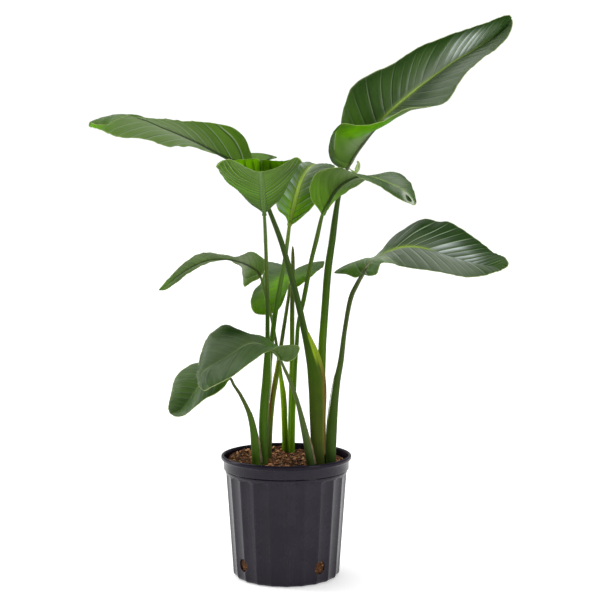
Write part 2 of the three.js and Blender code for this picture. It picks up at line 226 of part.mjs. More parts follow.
// ---- leaf stalks ----
// Each row is a point of the stalk's line, from the blade down to the potting mix, with half
// its width from side to side and half its depth from front to back.
const STALK_LINES = {
 top_right: [
  [119.8, 50, 798, 3.4, 3.2],
  [111.1, 47, 769.4, 4.2, 4.2],
  [101.9, 42, 737.8, 5, 5],
  [95.2, 34, 696.5, 6.3, 5.8],
  [90, 27, 657.3, 7, 6.2],
  [81.3, 17, 598.8, 7.8, 6.6],
  [75.2, 5, 524.9, 8, 6.8],
  [71.7, -3, 480.5, 8.3, 7],
  [69.8, -8, 449.7, 8.4, 7.2],
  [68.2, -17, 386.2, 8.2, 7.4],
  [67.8, -21, 347.6, 8.4, 7.6],
  [68.9, -27, 289.8, 8.4, 7.8],
  [70.7, -33, 225.8, 8.4, 8],
 ],
 top_left: [
  [-61.4, -18, 796.5, 3.2, 3.2],
  [-52.6, -25, 769.5, 3.7, 3.7],
  [-30.8, -36, 714, 4.5, 4.5],
  [-9.7, -41, 658.6, 5.4, 5.2],
  [6, -45, 605.2, 5.7, 5.4],
  [21.6, -49, 546.1, 5.8, 5.6],
  [35.6, -53, 485.1, 6.6, 5.8],
  [45, -55.5, 448.9, 9.2, 6],
  [51.9, -57, 420.2, 12, 6.2],
  [56.8, -58, 391.5, 14.6, 6.4],
  [59.2, -58, 352.9, 14.6, 6.6],
  [60, -57, 294.8, 13.4, 6.8],
  [62, -55, 227.5, 12.4, 7],
 ],
 upper_front: [
  [-40.6, -60, 708.2, 2.9, 2.9],
  [-38.5, -59, 659, 3.5, 3.4],
  [-35.4, -55, 546.5, 3.9, 3.8],
  [-35.2, -52, 469.6, 4.3, 4.2],
  [-36.2, -51, 429.1, 6.2, 5],
  [-37.9, -50, 390.4, 7.6, 6],
  [-41.4, -49, 351.6, 7.9, 6.4],
  [-44.3, -47, 293.1, 7.9, 6.6],
  [-41.7, -45, 226.5, 6.8, 6.6],
 ],
 upper_rear: [
  [6, 30, 684, 3.4, 3.4],
  [-2.8, 20, 618.2, 4.2, 4.1],
  [-19.9, 4, 525, 4.9, 4.6],
  [-25.6, -5, 480.7, 4.8, 4.6],
  [-29.8, -10, 444, 4.8, 4.6],
  [-34.0, -16, 386, 5.4, 4.8],
  [-37.2, -19, 347.3, 5.6, 5],
  [-39.6, -22, 288.9, 5.8, 5.2],
  [-40.0, -25, 225, 5.8, 5.4],
 ],
 upper_right: [
  [69.8, -30, 706.3, 3.2, 3.2],
  [58.6, -18, 658.2, 4.3, 4.2],
  [48.3, -7, 615.3, 4.2, 4.1],
  [34.3, 14, 542, 4.6, 4.4],
  [23.6, 28, 493.6, 4.2, 4.2],
  [20.6, 40, 452.7, 4.1, 4.1],
  [17.8, 50, 413.7, 4.3, 4.2],
  [15.8, 56, 376.7, 4.6, 4.4],
  [12.9, 63, 315.1, 5.2, 4.8],
  [11.3, 68, 253.4, 5.6, 5],
  [10.4, 70, 224.5, 5.8, 5],
 ],
 middle_rear: [
  [5.6, 110, 562.2, 2.7, 2.7],
  [4, 92, 542.9, 3, 3],
  [0.1, 74, 515.9, 3.5, 3.4],
  [-9.8, 42, 452.5, 3.9, 3.8],
  [-14.6, 32, 423.7, 4.1, 4],
  [-21, 22, 381.1, 5, 4.4],
  [-27, 14, 342.5, 5.4, 4.6],
  [-32, 4, 284.5, 5.5, 4.8],
  [-33.8, -5, 223.7, 5.5, 4.8],
 ],
 lower_front: [
  [-10, -100, 435.6, 2.5, 2.5],
  [-1.2, -98.5, 415.6, 3, 3],
  [7.6, -96, 396.4, 3.6, 3.5],
  [18, -92, 367.4, 3.8, 3.8],
  [27.3, -86, 334.1, 4.6, 4.3],
  [34.8, -80, 298.7, 6, 5],
  [43, -74, 259.2, 7.4, 5.8],
  [48.6, -71, 225.8, 7.8, 6],
 ],
 middle_left: [
  [-50.8, 30, 584.4, 2.3, 2.3],
  [-47.1, 35, 572.3, 2.5, 2.5],
  [-40.4, 42, 544.1, 2.6, 2.6],
  [-30.7, 50, 505.7, 2.7, 2.7],
  [-20.5, 62, 450.5, 3, 3],
  [-15.2, 68, 411.6, 3.5, 3.4],
  [-10.9, 72, 374.7, 4.2, 4],
  [-6.9, 76, 333.5, 5.2, 4.6],
  [-4.4, 78, 292.5, 5.8, 5],
  [-3, 80, 223.6, 6, 5.2],
 ],
 lowest_left: [
  [-106.5, -55, 394, 2.5, 2.5],
  [-99.4, -56, 381, 2.7, 2.7],
  [-88.6, -58, 365.3, 3.2, 3.2],
  [-76.3, -60, 342.2, 4.1, 4],
  [-68.9, -61, 324.5, 5.2, 4.8],
  [-62.4, -62, 295.7, 6.4, 5.4],
  [-58.3, -62, 257, 8.2, 6],
  [-55.9, -61, 225.8, 8.6, 6.2],
 ],
 middle_right: [
  [149.1, -20, 593, 3.4, 3.2],
  [137.4, -22.5, 573.4, 4.3, 3.8],
  [124.2, -26, 543.5, 4.6, 4.2],
  [113.4, -31, 485, 4.4, 4.3],
  [105.9, -35, 427.3, 5.6, 5],
  [98.3, -37, 388.8, 7, 5.6],
  [93.2, -39, 350.2, 8.3, 6],
  [88, -41, 292.1, 10.3, 6.6],
  [86.9, -42, 253.3, 9.7, 7],
  [86.4, -43, 226.2, 9, 7],
 ],
 spear: [
  [12.4, 80, 643.4, 1.1, 1.1],
  [12.5, 80, 634.2, 2.7, 2.6],
  [12.6, 80.5, 610, 3.9, 3.8],
  [11.7, 81.5, 565.8, 4.4, 4.2],
  [11.3, 83, 519.3, 4.7, 4.4],
  [11.2, 85, 456.3, 4.8, 4.4],
  [10.8, 86, 409.5, 5, 4.6],
  [10, 87, 372.7, 5.4, 4.8],
  [8.7, 88, 311.3, 5.8, 5],
  [7.5, 88, 249.8, 6, 5.2],
  [7.1, 88, 224.4, 6, 5.2],
 ],
};

const wasm = await Module();
wasm.setup();

const toSolid = (geometry) => {
  const g = geometry.clone();
  g.deleteAttribute("normal");
  g.deleteAttribute("uv");
  const merged = mergeVertices(g, 1e-4);
  return new wasm.Manifold(
    new wasm.Mesh({
      numProp: 3,
      vertProperties: new Float32Array(merged.attributes.position.array),
      triVerts: new Uint32Array(merged.index.array),
    }),
  );
};
const toGeometry = (solid) => {
  const m = solid.getMesh();
  const v = new Float32Array(m.numVert * 3);
  for (let i = 0; i < m.numVert; i++)
    for (let k = 0; k < 3; k++) v[i * 3 + k] = m.vertProperties[i * m.numProp + k];
  const g = new THREE.BufferGeometry();
  g.setAttribute("position", new THREE.BufferAttribute(v, 3));
  g.setIndex(new THREE.BufferAttribute(new Uint32Array(m.triVerts), 1));
  g.computeVertexNormals();
  return g;
};
const largest = (solid) =>
  solid.decompose().reduce((a, b) => (b.volume() > a.volume() ? b : a));
// Turns the faces round where a geometry was mapped inside out.
const outward = (geometry) => {
  const g = mergeVertices(
    (() => {
      const c = geometry.clone();
      c.deleteAttribute("normal");
      c.deleteAttribute("uv");
      return c;
    })(),
    1e-4,
  );
  const p = g.attributes.position,
    ix = g.index.array;
  const a = new THREE.Vector3(),
    b = new THREE.Vector3(),
    c = new THREE.Vector3();
  let volume = 0;
  for (let i = 0; i < ix.length; i += 3) {
    a.fromBufferAttribute(p, ix[i]);
    b.fromBufferAttribute(p, ix[i + 1]);
    c.fromBufferAttribute(p, ix[i + 2]);
    volume += a.dot(b.cross(c));
  }
  if (volume < 0)
    for (let i = 0; i < ix.length; i += 3) [ix[i + 1], ix[i + 2]] = [ix[i + 2], ix[i + 1]];
  return g;
};

// ---- a leaf blade: a flat box bent over the rails ----
const railCurve = (rows, k) =>
  new THREE.CatmullRomCurve3(
    rows.map((r) => new THREE.Vector3(r[3 * k], r[3 * k + 1], r[3 * k + 2])),
    false,
    "catmullrom",
    0.5,
  );
const ACROSS = [-1, -0.66, -0.33, -0.06, 0.06, 0.33, 0.66, 1];
function bladeGeometry(rows, steps) {
  const curves = [0, 1, 2, 3, 4].map((k) => railCurve(rows, k));
  const pointAt = (u, v) => {
    const t = Math.min(1, Math.max(0, u));
    const m = curves[2].getPoint(t);
    const side = v < 0 ? [curves[1], curves[0]] : [curves[3], curves[4]];
    const q = side[0].getPoint(t),
      e = side[1].getPoint(t);
    const w = Math.abs(v);
    return m
      .multiplyScalar((1 - w) * (1 - 2 * w))
      .addScaledVector(q, 4 * w * (1 - w))
      .addScaledVector(e, w * (2 * w - 1));
  };
  // The upper side's direction: across the blade (left to right) x along the blade.
  const upperSide = (u, v) => {
    const d = 0.012;
    const along = pointAt(Math.min(1, u + d), v).sub(pointAt(Math.max(0, u - d), v));
    const across = pointAt(u, Math.min(1, v + 0.12)).sub(pointAt(u, Math.max(-1, v - 0.12)));
    return across.cross(along).normalize();
  };
  const g = new THREE.BoxGeometry(1, 1, 1, steps, 1, ACROSS.length - 1);
  // The two sides of the sheet are split into triangles along the same diagonals, so that
  // they stay parallel where the blade twists.
  const under3 = g.groups.find((part) => part.materialIndex === 3);
  const index = g.index.array;
  for (let i = under3.start; i < under3.start + under3.count; i += 6) {
    const [a, b, d, , c] = index.subarray(i, i + 6);
    index.set([a, b, c, a, c, d], i);
  }
  const p = g.attributes.position;
  for (let i = 0; i < p.count; i++) {
    const u = p.getX(i) + 0.5;
    const column = Math.round((p.getZ(i) + 0.5) * (ACROSS.length - 1));
    const v = ACROSS[column];
    const under = p.getY(i) < 0;
    const rib =
      Math.abs(v) < 0.1 ? RIB_AT_TIP + (RIB_AT_BASE - RIB_AT_TIP) * Math.pow(1 - u, 1.3) : 0;
    const end = Math.min(1, 0.35 + Math.min(u, 1 - u) * 12);
    const offset = under ? -(BLADE_THICKNESS / 2 + rib) * end : (BLADE_THICKNESS / 2) * end;
    const at = pointAt(u, v).addScaledVector(upperSide(u, v), offset);
    p.setXYZ(i, at.x, at.y, at.z);
  }
  return outward(g);
}

// ---- a stalk: a tapering tube with an oval section along its line ----
function stalkGeometry(rows, steps, sides, grow, topTrim, footDrop) {
  const pts = rows.map((r) => new THREE.Vector3(r[0], r[1], r[2]));
  const wide = rows.map((r) => new THREE.Vector3(r[3], r[4], 0));
  const foot = pts[pts.length - 1];
  const before = pts[pts.length - 2];
  const lean = foot.clone().sub(before).normalize();
  lean.z = Math.min(lean.z, -0.5);
  lean.multiplyScalar(footDrop / Math.abs(lean.z));
  pts.push(foot.clone().add(new THREE.Vector3(lean.x * 0.3, lean.y * 0.3, -footDrop)));
  wide.push(wide[wide.length - 1].clone());
  const line = new THREE.CatmullRomCurve3(pts, false, "catmullrom", 0.5);
  const size = new THREE.CatmullRomCurve3(wide, false, "catmullrom", 0.5);
  const start = topTrim / pts[0].distanceTo(pts[1]) / (pts.length - 1);
  const g = new THREE.CylinderGeometry(1, 1, 1, sides, steps, false);
  const p = g.attributes.position;
  const front = new THREE.Vector3(0, 1, 0);
  for (let i = 0; i < p.count; i++) {
    const t = start + (1 - start) * Math.min(1, Math.max(0, 0.5 - p.getY(i)));
    const at = line.getPoint(t),
      along = line.getTangent(t),
      s = size.getPoint(t);
    const e1 = front.clone().cross(along).normalize();
    const e2 = along.clone().cross(e1).normalize();
    at.addScaledVector(e1, p.getX(i) * (s.x + grow)).addScaledVector(e2, p.getZ(i) * (s.y + grow));
    p.setXYZ(i, at.x, at.y, at.z);
  }
  return outward(g);
}

// ---- the pot ----
const rad = (deg) => (deg * Math.PI) / 180;
const wallRadius = (z) =>
  WALL_FOOT_RADIUS +
  ((WALL_TOP_RADIUS - WALL_FOOT_RADIUS) * (z - CORNER_HEIGHT)) /
    (POT_HEIGHT - BAND_DROP - CORNER_HEIGHT);
const bandFoot = POT_HEIGHT - BAND_DROP;
const lipFoot = POT_HEIGHT - LIP_HEIGHT;
function potGeometry() {
  const inner = (z) => wallRadius(z) - FLUTE_DEPTH - WALL;
  const profile = [
    [0, 0],
    [FOOT_RADIUS, 0],
    [WALL_FOOT_RADIUS - 2.2, CORNER_HEIGHT * 0.36],
    [WALL_FOOT_RADIUS, CORNER_HEIGHT],
    [wallRadius(bandFoot - 5), bandFoot - 5],
    [WALL_TOP_RADIUS, bandFoot],
    [BAND_RADIUS - 0.8, bandFoot + 0.6],
    [BAND_RADIUS, lipFoot - 1],
    [LIP_RADIUS - 1.2, lipFoot],
    [LIP_RADIUS, lipFoot + 2],
    [LIP_RADIUS - 0.4, POT_HEIGHT - 2],
    [LIP_RADIUS - 2.6, POT_HEIGHT],
    [LIP_RADIUS - 5, POT_HEIGHT - 1.4],
    [BAND_RADIUS - WALL, lipFoot - 2],
    [BAND_RADIUS - WALL - 1, bandFoot + 3],
    [inner(bandFoot - 5), bandFoot - 5],
    [inner(FLOOR + 6), FLOOR + 6],
    [inner(FLOOR + 6) - 6, FLOOR],
    [0, FLOOR],
  ].map(([r, z]) => new THREE.Vector2(r, z));
  const perFlute = 3;
  const g = new THREE.LatheGeometry(profile, FLUTES * perFlute);
  const p = g.attributes.position;
  const flutedTo = bandFoot - 4.9;
  for (let i = 0; i < p.count; i++) {
    const x = p.getX(i),
      z = p.getY(i),
      y = -p.getZ(i);
    let r = Math.hypot(x, y);
    const turn = (Math.atan2(y, x) * 180) / Math.PI;
    const outside = r > wallRadius(Math.max(z, 0)) - 6.8;
    const isWallSkin = z > 2 && z < flutedTo && outside && r > inner(z) + 0.5;
    if (isWallSkin) {
      const f = (((turn / 360) * FLUTES) % 1 + 1) % 1;
      r -= FLUTE_DEPTH * (1 - Math.pow(2 * f - 1, 2));
    }
    const a = rad(turn + FLUTE_PHASE);
    p.setXYZ(i, r < 1e-6 ? 0 : r * Math.cos(a), r < 1e-6 ? 0 : r * Math.sin(a), z);
  }
  return outward(g);
}
let pot = toSolid(potGeometry());
for (const deg of HOLE_ANGLES) {
  const hole = new THREE.CylinderGeometry(HOLE_DIAMETER / 2, HOLE_DIAMETER / 2, 30, 16);
  hole.rotateZ(-Math.PI / 2);
  hole.translate(wallRadius(HOLE_HEIGHT) - 2, 0, HOLE_HEIGHT);
  hole.rotateZ(rad(deg));
  pot = pot.subtract(toSolid(outward(hole)));
}

// ---- the potting mix ----
function mixGeometry() {
  const inner = (z) => wallRadius(z) - FLUTE_DEPTH - WALL - GAP;
  const profile = [
    [0, FLOOR + GAP],
    [inner(FLOOR + 6) - 7, FLOOR + GAP],
    [inner(FLOOR + 7), FLOOR + 7],
    [inner(110), 110],
    [inner(bandFoot - 6), bandFoot - 6],
    [inner(bandFoot - 6) + 1.2, MIX_TOP - 2.5],
    [inner(bandFoot - 6) - 3, MIX_TOP],
    [88, MIX_TOP + MIX_CROWN * 0.45],
    [58, MIX_TOP + MIX_CROWN * 0.75],
    [28, MIX_TOP + MIX_CROWN],
    [0, MIX_TOP + MIX_CROWN],
  ].map(([r, z]) => new THREE.Vector2(r, z));
  const g = new THREE.LatheGeometry(profile, 36);
  const p = g.attributes.position;
  for (let i = 0; i < p.count; i++) {
    const x = p.getX(i),
      y = -p.getZ(i);
    let z = p.getY(i);
    const r = Math.hypot(x, y);
    if (z > MIX_TOP - 1 && r > 1)
      z += 1.1 * Math.sin(x * 0.11 + 1.3) * Math.cos(y * 0.13 - 0.4) + 0.7 * Math.sin(x * 0.27 - y * 0.21);
    p.setXYZ(i, r < 1e-6 ? 0 : x, r < 1e-6 ? 0 : y, z);
  }
  return outward(g);
}

// ---- the assembly ----
const paint = (color, roughness, metalness = 0) =>
  new THREE.MeshStandardMaterial({ color, roughness, metalness });
const potPaint = paint("#2b2930", 0.5);
const mixPaint = paint("#6b4326", 0.95);
const stalkPaint = paint("#3f6a2a", 0.5);
const bladePaint = paint("#2f5a2c", 0.4);
const spearPaint = paint("#4c7a2c", 0.45);

const plant = new THREE.Group();
const put = (name, geometry, material) => {
  const mesh = new THREE.Mesh(geometry, material);
  mesh.name = name;
  plant.add(mesh);
};

put("grower_pot", toGeometry(pot), potPaint);

let mix = toSolid(mixGeometry());
const stalkSteps = (rows) => Math.max(10, rows.length);
for (const rows of Object.values(STALK_LINES))
  mix = mix.subtract(toSolid(stalkGeometry(rows, stalkSteps(rows), 8, GAP, 0, SOCKET_DEPTH + GAP)));
put("potting_mix", toGeometry(mix), mixPaint);

for (const [place, rows] of Object.entries(STALK_LINES)) {
  const spear = place === "spear";
  put(
    spear ? "furled_spear" : "stalk_" + place,
    stalkGeometry(rows, stalkSteps(rows), 8, 0, spear ? 0 : 0.4, SOCKET_DEPTH),
    spear ? spearPaint : stalkPaint,
  );
}
for (const [place, rows] of Object.entries(LEAF_RAILS)) {
  const steps = Math.min(16, rows.length);
  // The blade stays clear of its own stalk, which it grows from.
  const own = STALK_LINES[place];
  const clear = toSolid(stalkGeometry(own, stalkSteps(own), 8, GAP, 0, SOCKET_DEPTH));
  const blade = largest(toSolid(bladeGeometry(rows, steps)).subtract(clear));
  put("blade_" + place, toGeometry(blade), bladePaint);
}

export default plant;
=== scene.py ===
"""Potted bird of paradise: a black fluted grower pot, bark potting mix, ten leaves and a furled spear.
Metres, +Z up, -Y is the front, the origin is at the centre of the pot's underside. The tables below are in millimetres."""

import math

import bpy
import numpy as np
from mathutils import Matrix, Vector


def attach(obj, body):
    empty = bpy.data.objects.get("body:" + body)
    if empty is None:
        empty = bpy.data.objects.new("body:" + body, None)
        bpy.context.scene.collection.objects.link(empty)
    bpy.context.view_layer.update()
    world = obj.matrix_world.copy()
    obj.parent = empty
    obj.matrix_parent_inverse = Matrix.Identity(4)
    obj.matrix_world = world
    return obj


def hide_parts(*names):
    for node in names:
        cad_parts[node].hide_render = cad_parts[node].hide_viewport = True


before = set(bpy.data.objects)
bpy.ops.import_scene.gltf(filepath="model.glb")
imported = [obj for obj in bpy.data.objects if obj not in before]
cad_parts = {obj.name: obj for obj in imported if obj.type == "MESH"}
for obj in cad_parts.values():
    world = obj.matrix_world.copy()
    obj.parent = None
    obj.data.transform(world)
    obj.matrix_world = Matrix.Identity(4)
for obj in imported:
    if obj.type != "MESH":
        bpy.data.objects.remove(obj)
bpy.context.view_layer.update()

# Leaf blades: each row is a station from the stalk to the tip, with left edge, middle of the
# left half, midrib, middle of the right half and right edge (as seen from the upper side).
LEAF_RAILS = {
 "top_right": [
  [117.4, 47, 800.8, 118.2, 48.7, 799.2, 119.8, 50, 798, 118.5, 48.2, 799.2, 117.7, 46, 800.2],
  [110.4, 66, 823.3, 116.8, 57, 816.2, 126.4, 52, 808.9, 104.5, 36, 799.4, 97.9, 30, 812.9],
  [106.7, 76, 859.4, 115.7, 61.4, 838.7, 132.2, 54, 818.8, 89.3, 22, 812.5, 94, 12, 832.4],
  [110.9, 86, 903.7, 121.5, 67.7, 867.7, 141.4, 57, 832.7, 87, 4, 833.9, 96.3, -8, 862.1],
  [121, 92, 937.9, 132.4, 72.4, 892.6, 152.6, 61, 847.7, 99.6, 2, 858.9, 106.8, -12, 881.3],
  [130.1, 95, 961, 145.1, 75.3, 913.4, 165.9, 66, 864.7, 131.6, 6, 862, 138.5, -12, 878.8],
  [151.1, 96, 978.9, 163.5, 78.1, 931.5, 181, 71, 882.8, 172, 18, 870.5, 173.4, -8, 882.7],
  [179.1, 96, 992.6, 187.4, 80, 949.7, 200.1, 75, 905.2, 209.6, 28, 892.8, 204, 4, 897.4],
  [213.1, 97, 1008.8, 215.9, 82.9, 968.3, 222.6, 80, 925.9, 240.7, 38, 910.5, 238.6, 14, 914],
  [240.1, 98, 1026.7, 240.5, 85.2, 986.3, 243.4, 84, 944.1, 273.5, 54, 925.7, 294.8, 30, 919.2],
  [267.1, 99, 1042.7, 265.2, 87.6, 1002.8, 265.2, 88, 961.3, 292.6, 62, 950.9, 320.2, 42, 932.3],
  [295.2, 101, 1054.8, 289.6, 90.6, 1016.5, 285.8, 92, 976.5, 311.4, 70, 972.2, 340.2, 54, 963.8],
  [323.5, 104, 1065.5, 314.7, 94.6, 1029.9, 307.9, 97, 992.7, 330.7, 77.5, 991.5, 357.1, 64, 986.4],
  [356.1, 109, 1076.7, 345.6, 100.6, 1045.7, 336.6, 104, 1013.2, 360.2, 89, 1014.8, 386.8, 80, 1013.3],
  [389, 115, 1088.3, 376.8, 107.5, 1060.1, 365.7, 112, 1030.8, 388.9, 100, 1033.8, 414.5, 94, 1034.1],
  [418.1, 122, 1099.7, 405.7, 115.4, 1074.4, 394.1, 120, 1048.4, 414.9, 111.2, 1051.9, 437.5, 108, 1053.6],
  [438.1, 128, 1107.4, 428.5, 122.9, 1086.5, 419.1, 127, 1065.3, 434.6, 121.3, 1070.2, 451.3, 120, 1074.3],
  [450, 133, 1110.4, 444.1, 129.9, 1096.2, 438.1, 133, 1082.1, 447.5, 130.1, 1087, 457.4, 130, 1091.7],
  [456.5, 138, 1106.5, 455.8, 137.6, 1104.7, 454.9, 138, 1102.9, 456.3, 137.8, 1102.4, 457.8, 138, 1101.9],
 ],
 "top_left": [
  [-62.3, -20, 799.3, -61.6, -18.9, 798, -61.4, -18, 796.5, -60.7, -17.3, 798.1, -60, -16, 799.4],
  [-63, -38, 814.7, -65.5, -28, 807.9, -69, -21, 798.3, -49.9, -6.5, 809.5, -31.4, 12, 813.1],
  [-67.7, -52, 829.2, -71.1, -35.5, 817.1, -76.6, -24, 800.9, -46.7, 6, 815, -18.2, 40, 820.1],
  [-76.6, -64, 853, -79.6, -42, 831.1, -85, -28, 803.8, -66.1, 10.3, 821.2, -48.1, 52, 829.3],
  [-98.5, -76, 870.9, -95.4, -50.6, 841.8, -95.3, -33, 807.4, -86.7, 8.2, 822.7, -79.7, 52, 828.5],
  [-127.9, -86, 876.9, -115.5, -58.7, 847.5, -107.4, -38, 811.9, -107.4, 1.4, 822.7, -110.7, 42, 824.1],
  [-153.1, -98, 878.2, -138.1, -69.2, 853.6, -127.6, -46, 822, -134.3, -8.8, 829.2, -145.2, 28, 827.4],
  [-176.3, -108, 879, -160.6, -79.2, 860.3, -149, -55, 833.8, -163.1, -18.7, 839.4, -181.3, 16, 836.1],
  [-201.2, -118, 880.3, -184.4, -89, 866.7, -170.9, -64, 844.5, -188.5, -28.7, 845.9, -209.4, 4, 838.2],
  [-222.3, -128, 883.2, -206.2, -98.8, 873.3, -192.6, -73, 854.3, -212.7, -38.7, 851.8, -235.2, -8, 840.2],
  [-245, -137, 883.1, -227.2, -108.3, 877.3, -211.4, -82, 862.1, -232.3, -48.3, 859.7, -255.2, -18, 848.1],
  [-267.5, -147, 883.6, -249.4, -118.4, 882, -233, -91, 870.6, -256.4, -58.5, 866.1, -281.5, -30, 852.5],
  [-281.5, -158, 886.2, -266.8, -128.6, 887.8, -253.1, -100, 879.4, -279, -68.6, 869.8, -305.7, -42, 851.5],
  [-292.9, -167, 882.6, -282.4, -138.3, 889.1, -272.3, -109, 885.5, -298.6, -80.2, 875, -324.6, -56, 855.7],
  [-305.8, -172, 874.8, -299.3, -146.3, 887.4, -292.3, -118, 890.7, -316.5, -94.1, 880.9, -338.8, -74, 862.1],
  [-321.2, -172, 868.7, -316.8, -150.6, 883.3, -310.4, -126, 890.1, -331, -109, 881.8, -347.8, -94, 865.4],
  [-337.1, -168, 869, -333.5, -152.1, 880.2, -327.6, -134, 885.8, -342.4, -123.5, 878.7, -353.9, -114, 866.1],
  [-348.3, -160, 871.3, -346.5, -151, 877.5, -343, -141, 880.6, -351.1, -136.1, 874.8, -356.9, -132, 866.4],
  [-355.8, -148, 874.1, -355.8, -147.5, 874.6, -355.6, -147, 875.1, -356.8, -146, 871.5, -357.3, -146, 867.6],
 ],
 "upper_front": [
  [-38.7, -60, 710.1, -39.7, -60, 709.2, -40.6, -60, 708.2, -41.6, -60, 709.2, -42.5, -60, 710.1],
  [-43.5, -51.5, 738.5, -27, -60, 723.3, -40.7, -72, 714.8, -54.4, -60, 721.5, -42.8, -54, 738.5],
  [-48.4, -47.5, 774.5, -10.8, -66, 742.1, -40.6, -88, 721.3, -73.2, -66, 738.1, -45.5, -52, 774.5],
  [-51.8, -50.5, 808.2, -1.1, -84, 756.8, -40.7, -110, 729.5, -84.6, -84, 753.2, -48.3, -58, 809.2],
  [-23.6, -80, 808.8, 8.4, -106, 771.2, -40.9, -135, 738.4, -98.2, -106, 763.8, -69.5, -80, 811.4],
  [3, -112, 806.4, 16, -132, 781.4, -40.8, -162, 747.1, -108.2, -132, 768.2, -93.2, -112, 808],
  [23.4, -144, 810.8, 16.1, -160, 788.7, -40.7, -190, 755.5, -110.2, -160, 776.2, -114.4, -144, 805.4],
  [31.1, -182, 801.3, 3.8, -196, 783.9, -40.6, -218, 762.9, -91.7, -196, 776.3, -123.8, -182, 793.6],
  [22.6, -218, 808.3, -6.4, -230, 786.2, -40.4, -246, 768.3, -77.6, -230, 782.7, -109.9, -218, 801.8],
  [9.6, -256, 803.1, -13.7, -263, 786.3, -39.9, -274, 772.7, -65.7, -263, 785.1, -89.4, -256, 801.2],
  [-9, -288, 790.5, -23.5, -292, 782.5, -39.5, -298, 775.7, -54.3, -292, 781.8, -68.1, -288, 788],
  [-26.4, -312, 781.8, -32.8, -314.5, 779.9, -39.1, -317, 778, -45.1, -314.5, 779.2, -51, -312, 780.5],
  [-37.3, -326, 779.5, -38.2, -326, 779.4, -39, -326, 779.2, -39.7, -326, 779.4, -40.4, -326, 779.5],
 ],
 "upper_rear": [
  [4.4, 29, 685.7, 5.3, 29.3, 684.8, 6, 30, 684, 6.8, 29.3, 684.8, 7.7, 29, 685.7],
  [-1.4, 24, 702.8, 4.2, 26.8, 698.5, 8.1, 32, 694.5, 13, 26.9, 693.9, 19.2, 24, 692],
  [-15.5, 22, 715.1, -0.5, 27, 713.2, 11.2, 37, 709.3, 23.7, 27, 710.3, 38.7, 22, 708.7],
  [-20.1, 28, 730.8, -0.7, 32.9, 729.1, 15.2, 44, 724, 33.8, 32.5, 727.5, 55.4, 28, 726.9],
  [-22.2, 40, 753.5, 0.3, 43.5, 749.4, 19.1, 54, 740.9, 42.3, 42.9, 746.1, 68.4, 40, 745.6],
  [-19.6, 57, 777.5, 4.3, 58.9, 771.3, 24.2, 68, 760, 50.6, 57.7, 766.3, 79.5, 56, 765.6],
  [-11.9, 78, 798.4, 11.5, 78.9, 791.9, 31, 86, 779.3, 58.5, 77.2, 785.4, 87.9, 76, 783],
  [-0.2, 104, 809.7, 21.4, 103.9, 805.8, 40.1, 108, 795, 66.5, 101.4, 800.8, 94.1, 100, 797.1],
  [13.7, 136, 812.4, 33.3, 135, 812.7, 51.5, 136, 805.7, 74.5, 130.9, 809.1, 97.4, 128, 803.4],
  [29.1, 170, 812.3, 47, 168.9, 814.2, 64.2, 168, 809, 82.1, 163.9, 810.1, 99.1, 160, 804.1],
  [47.9, 204, 808, 63, 202.4, 809.3, 77.2, 200, 804.8, 89.8, 197.3, 804.3, 101.1, 194, 798.9],
  [65.1, 234, 798.4, 76.6, 232.7, 799, 87.3, 230, 795.3, 95.9, 228.4, 793.4, 103.1, 226, 788.5],
  [83.6, 258, 784.1, 89.8, 257.5, 784.1, 95.4, 256, 781.9, 101.2, 255.5, 780.2, 106, 254, 776.6],
  [101.2, 280, 765.2, 101.9, 280.1, 764.9, 102.4, 280, 764.3, 103.3, 280.1, 764.3, 104.2, 280, 763.9],
 ],
 "upper_right": [
  [71.5, -29, 708.2, 70.5, -29.4, 707.4, 69.8, -30, 706.3, 68.8, -30.3, 707.4, 67.8, -31, 708.2],
  [80.4, -24, 715.5, 76.3, -28.1, 714.8, 73.5, -33, 713, 67.3, -37.5, 715.9, 62.3, -44, 717.4],
  [88.8, -12, 727.5, 81.1, -24, 725.5, 77.3, -37, 721, 62.5, -46.1, 729, 50.3, -60, 733.7],
  [100.6, -4, 738, 88.4, -22.1, 735.9, 81.7, -42, 729.7, 62.2, -55.7, 742.4, 46.4, -76, 750.4],
  [114.3, 1, 747.4, 97.6, -22.1, 747.1, 87.5, -48, 740.9, 65.8, -65.3, 757.6, 48.1, -90, 768.8],
  [127.9, 3, 757.5, 108.9, -25.1, 759.1, 96, -56, 753.2, 74.4, -75.5, 771.9, 55.8, -102, 784.2],
  [139.6, 3, 764.6, 120.6, -29.4, 768.2, 106.3, -64, 763.3, 89.5, -85, 781.1, 75.1, -112, 791.4],
  [149.1, 0, 769.8, 131.9, -35.7, 775, 118.1, -73, 770.9, 107, -94.6, 786.8, 97.9, -121, 794.6],
  [158.4, -6, 775, 143.4, -43.5, 779.2, 130.4, -82, 776.7, 123.4, -105, 785.4, 117.9, -130, 786.1],
  [167.3, -20, 780, 154.7, -56, 780.5, 142.7, -92, 779, 139, -115.7, 781.3, 135.9, -139, 775.7],
  [178.5, -40, 781.7, 167.2, -71.7, 781.8, 155.2, -102, 777.9, 154.3, -124.9, 776.3, 152.9, -146, 767.4],
  [192.4, -60, 785.6, 180.6, -87.4, 783.3, 167.7, -112, 774.1, 167.8, -133.1, 770.9, 167.2, -152, 761],
  [208.2, -76, 785.1, 195.5, -101.3, 781, 181.8, -123, 768.3, 182.4, -141.4, 762.8, 182.4, -157, 751.7],
  [220.5, -94, 778.2, 208.5, -115.2, 773.8, 195.8, -133, 762, 197.3, -148.3, 753.5, 198.5, -160, 740.4],
  [230.6, -112, 767.9, 220.4, -129, 764.6, 209.2, -143, 755.6, 211.5, -155, 745.3, 213.4, -163, 731.5],
  [235.3, -132, 751.1, 228.4, -142.4, 750.9, 220.1, -151, 747.4, 222.8, -159.6, 738.3, 224.5, -165, 726.8],
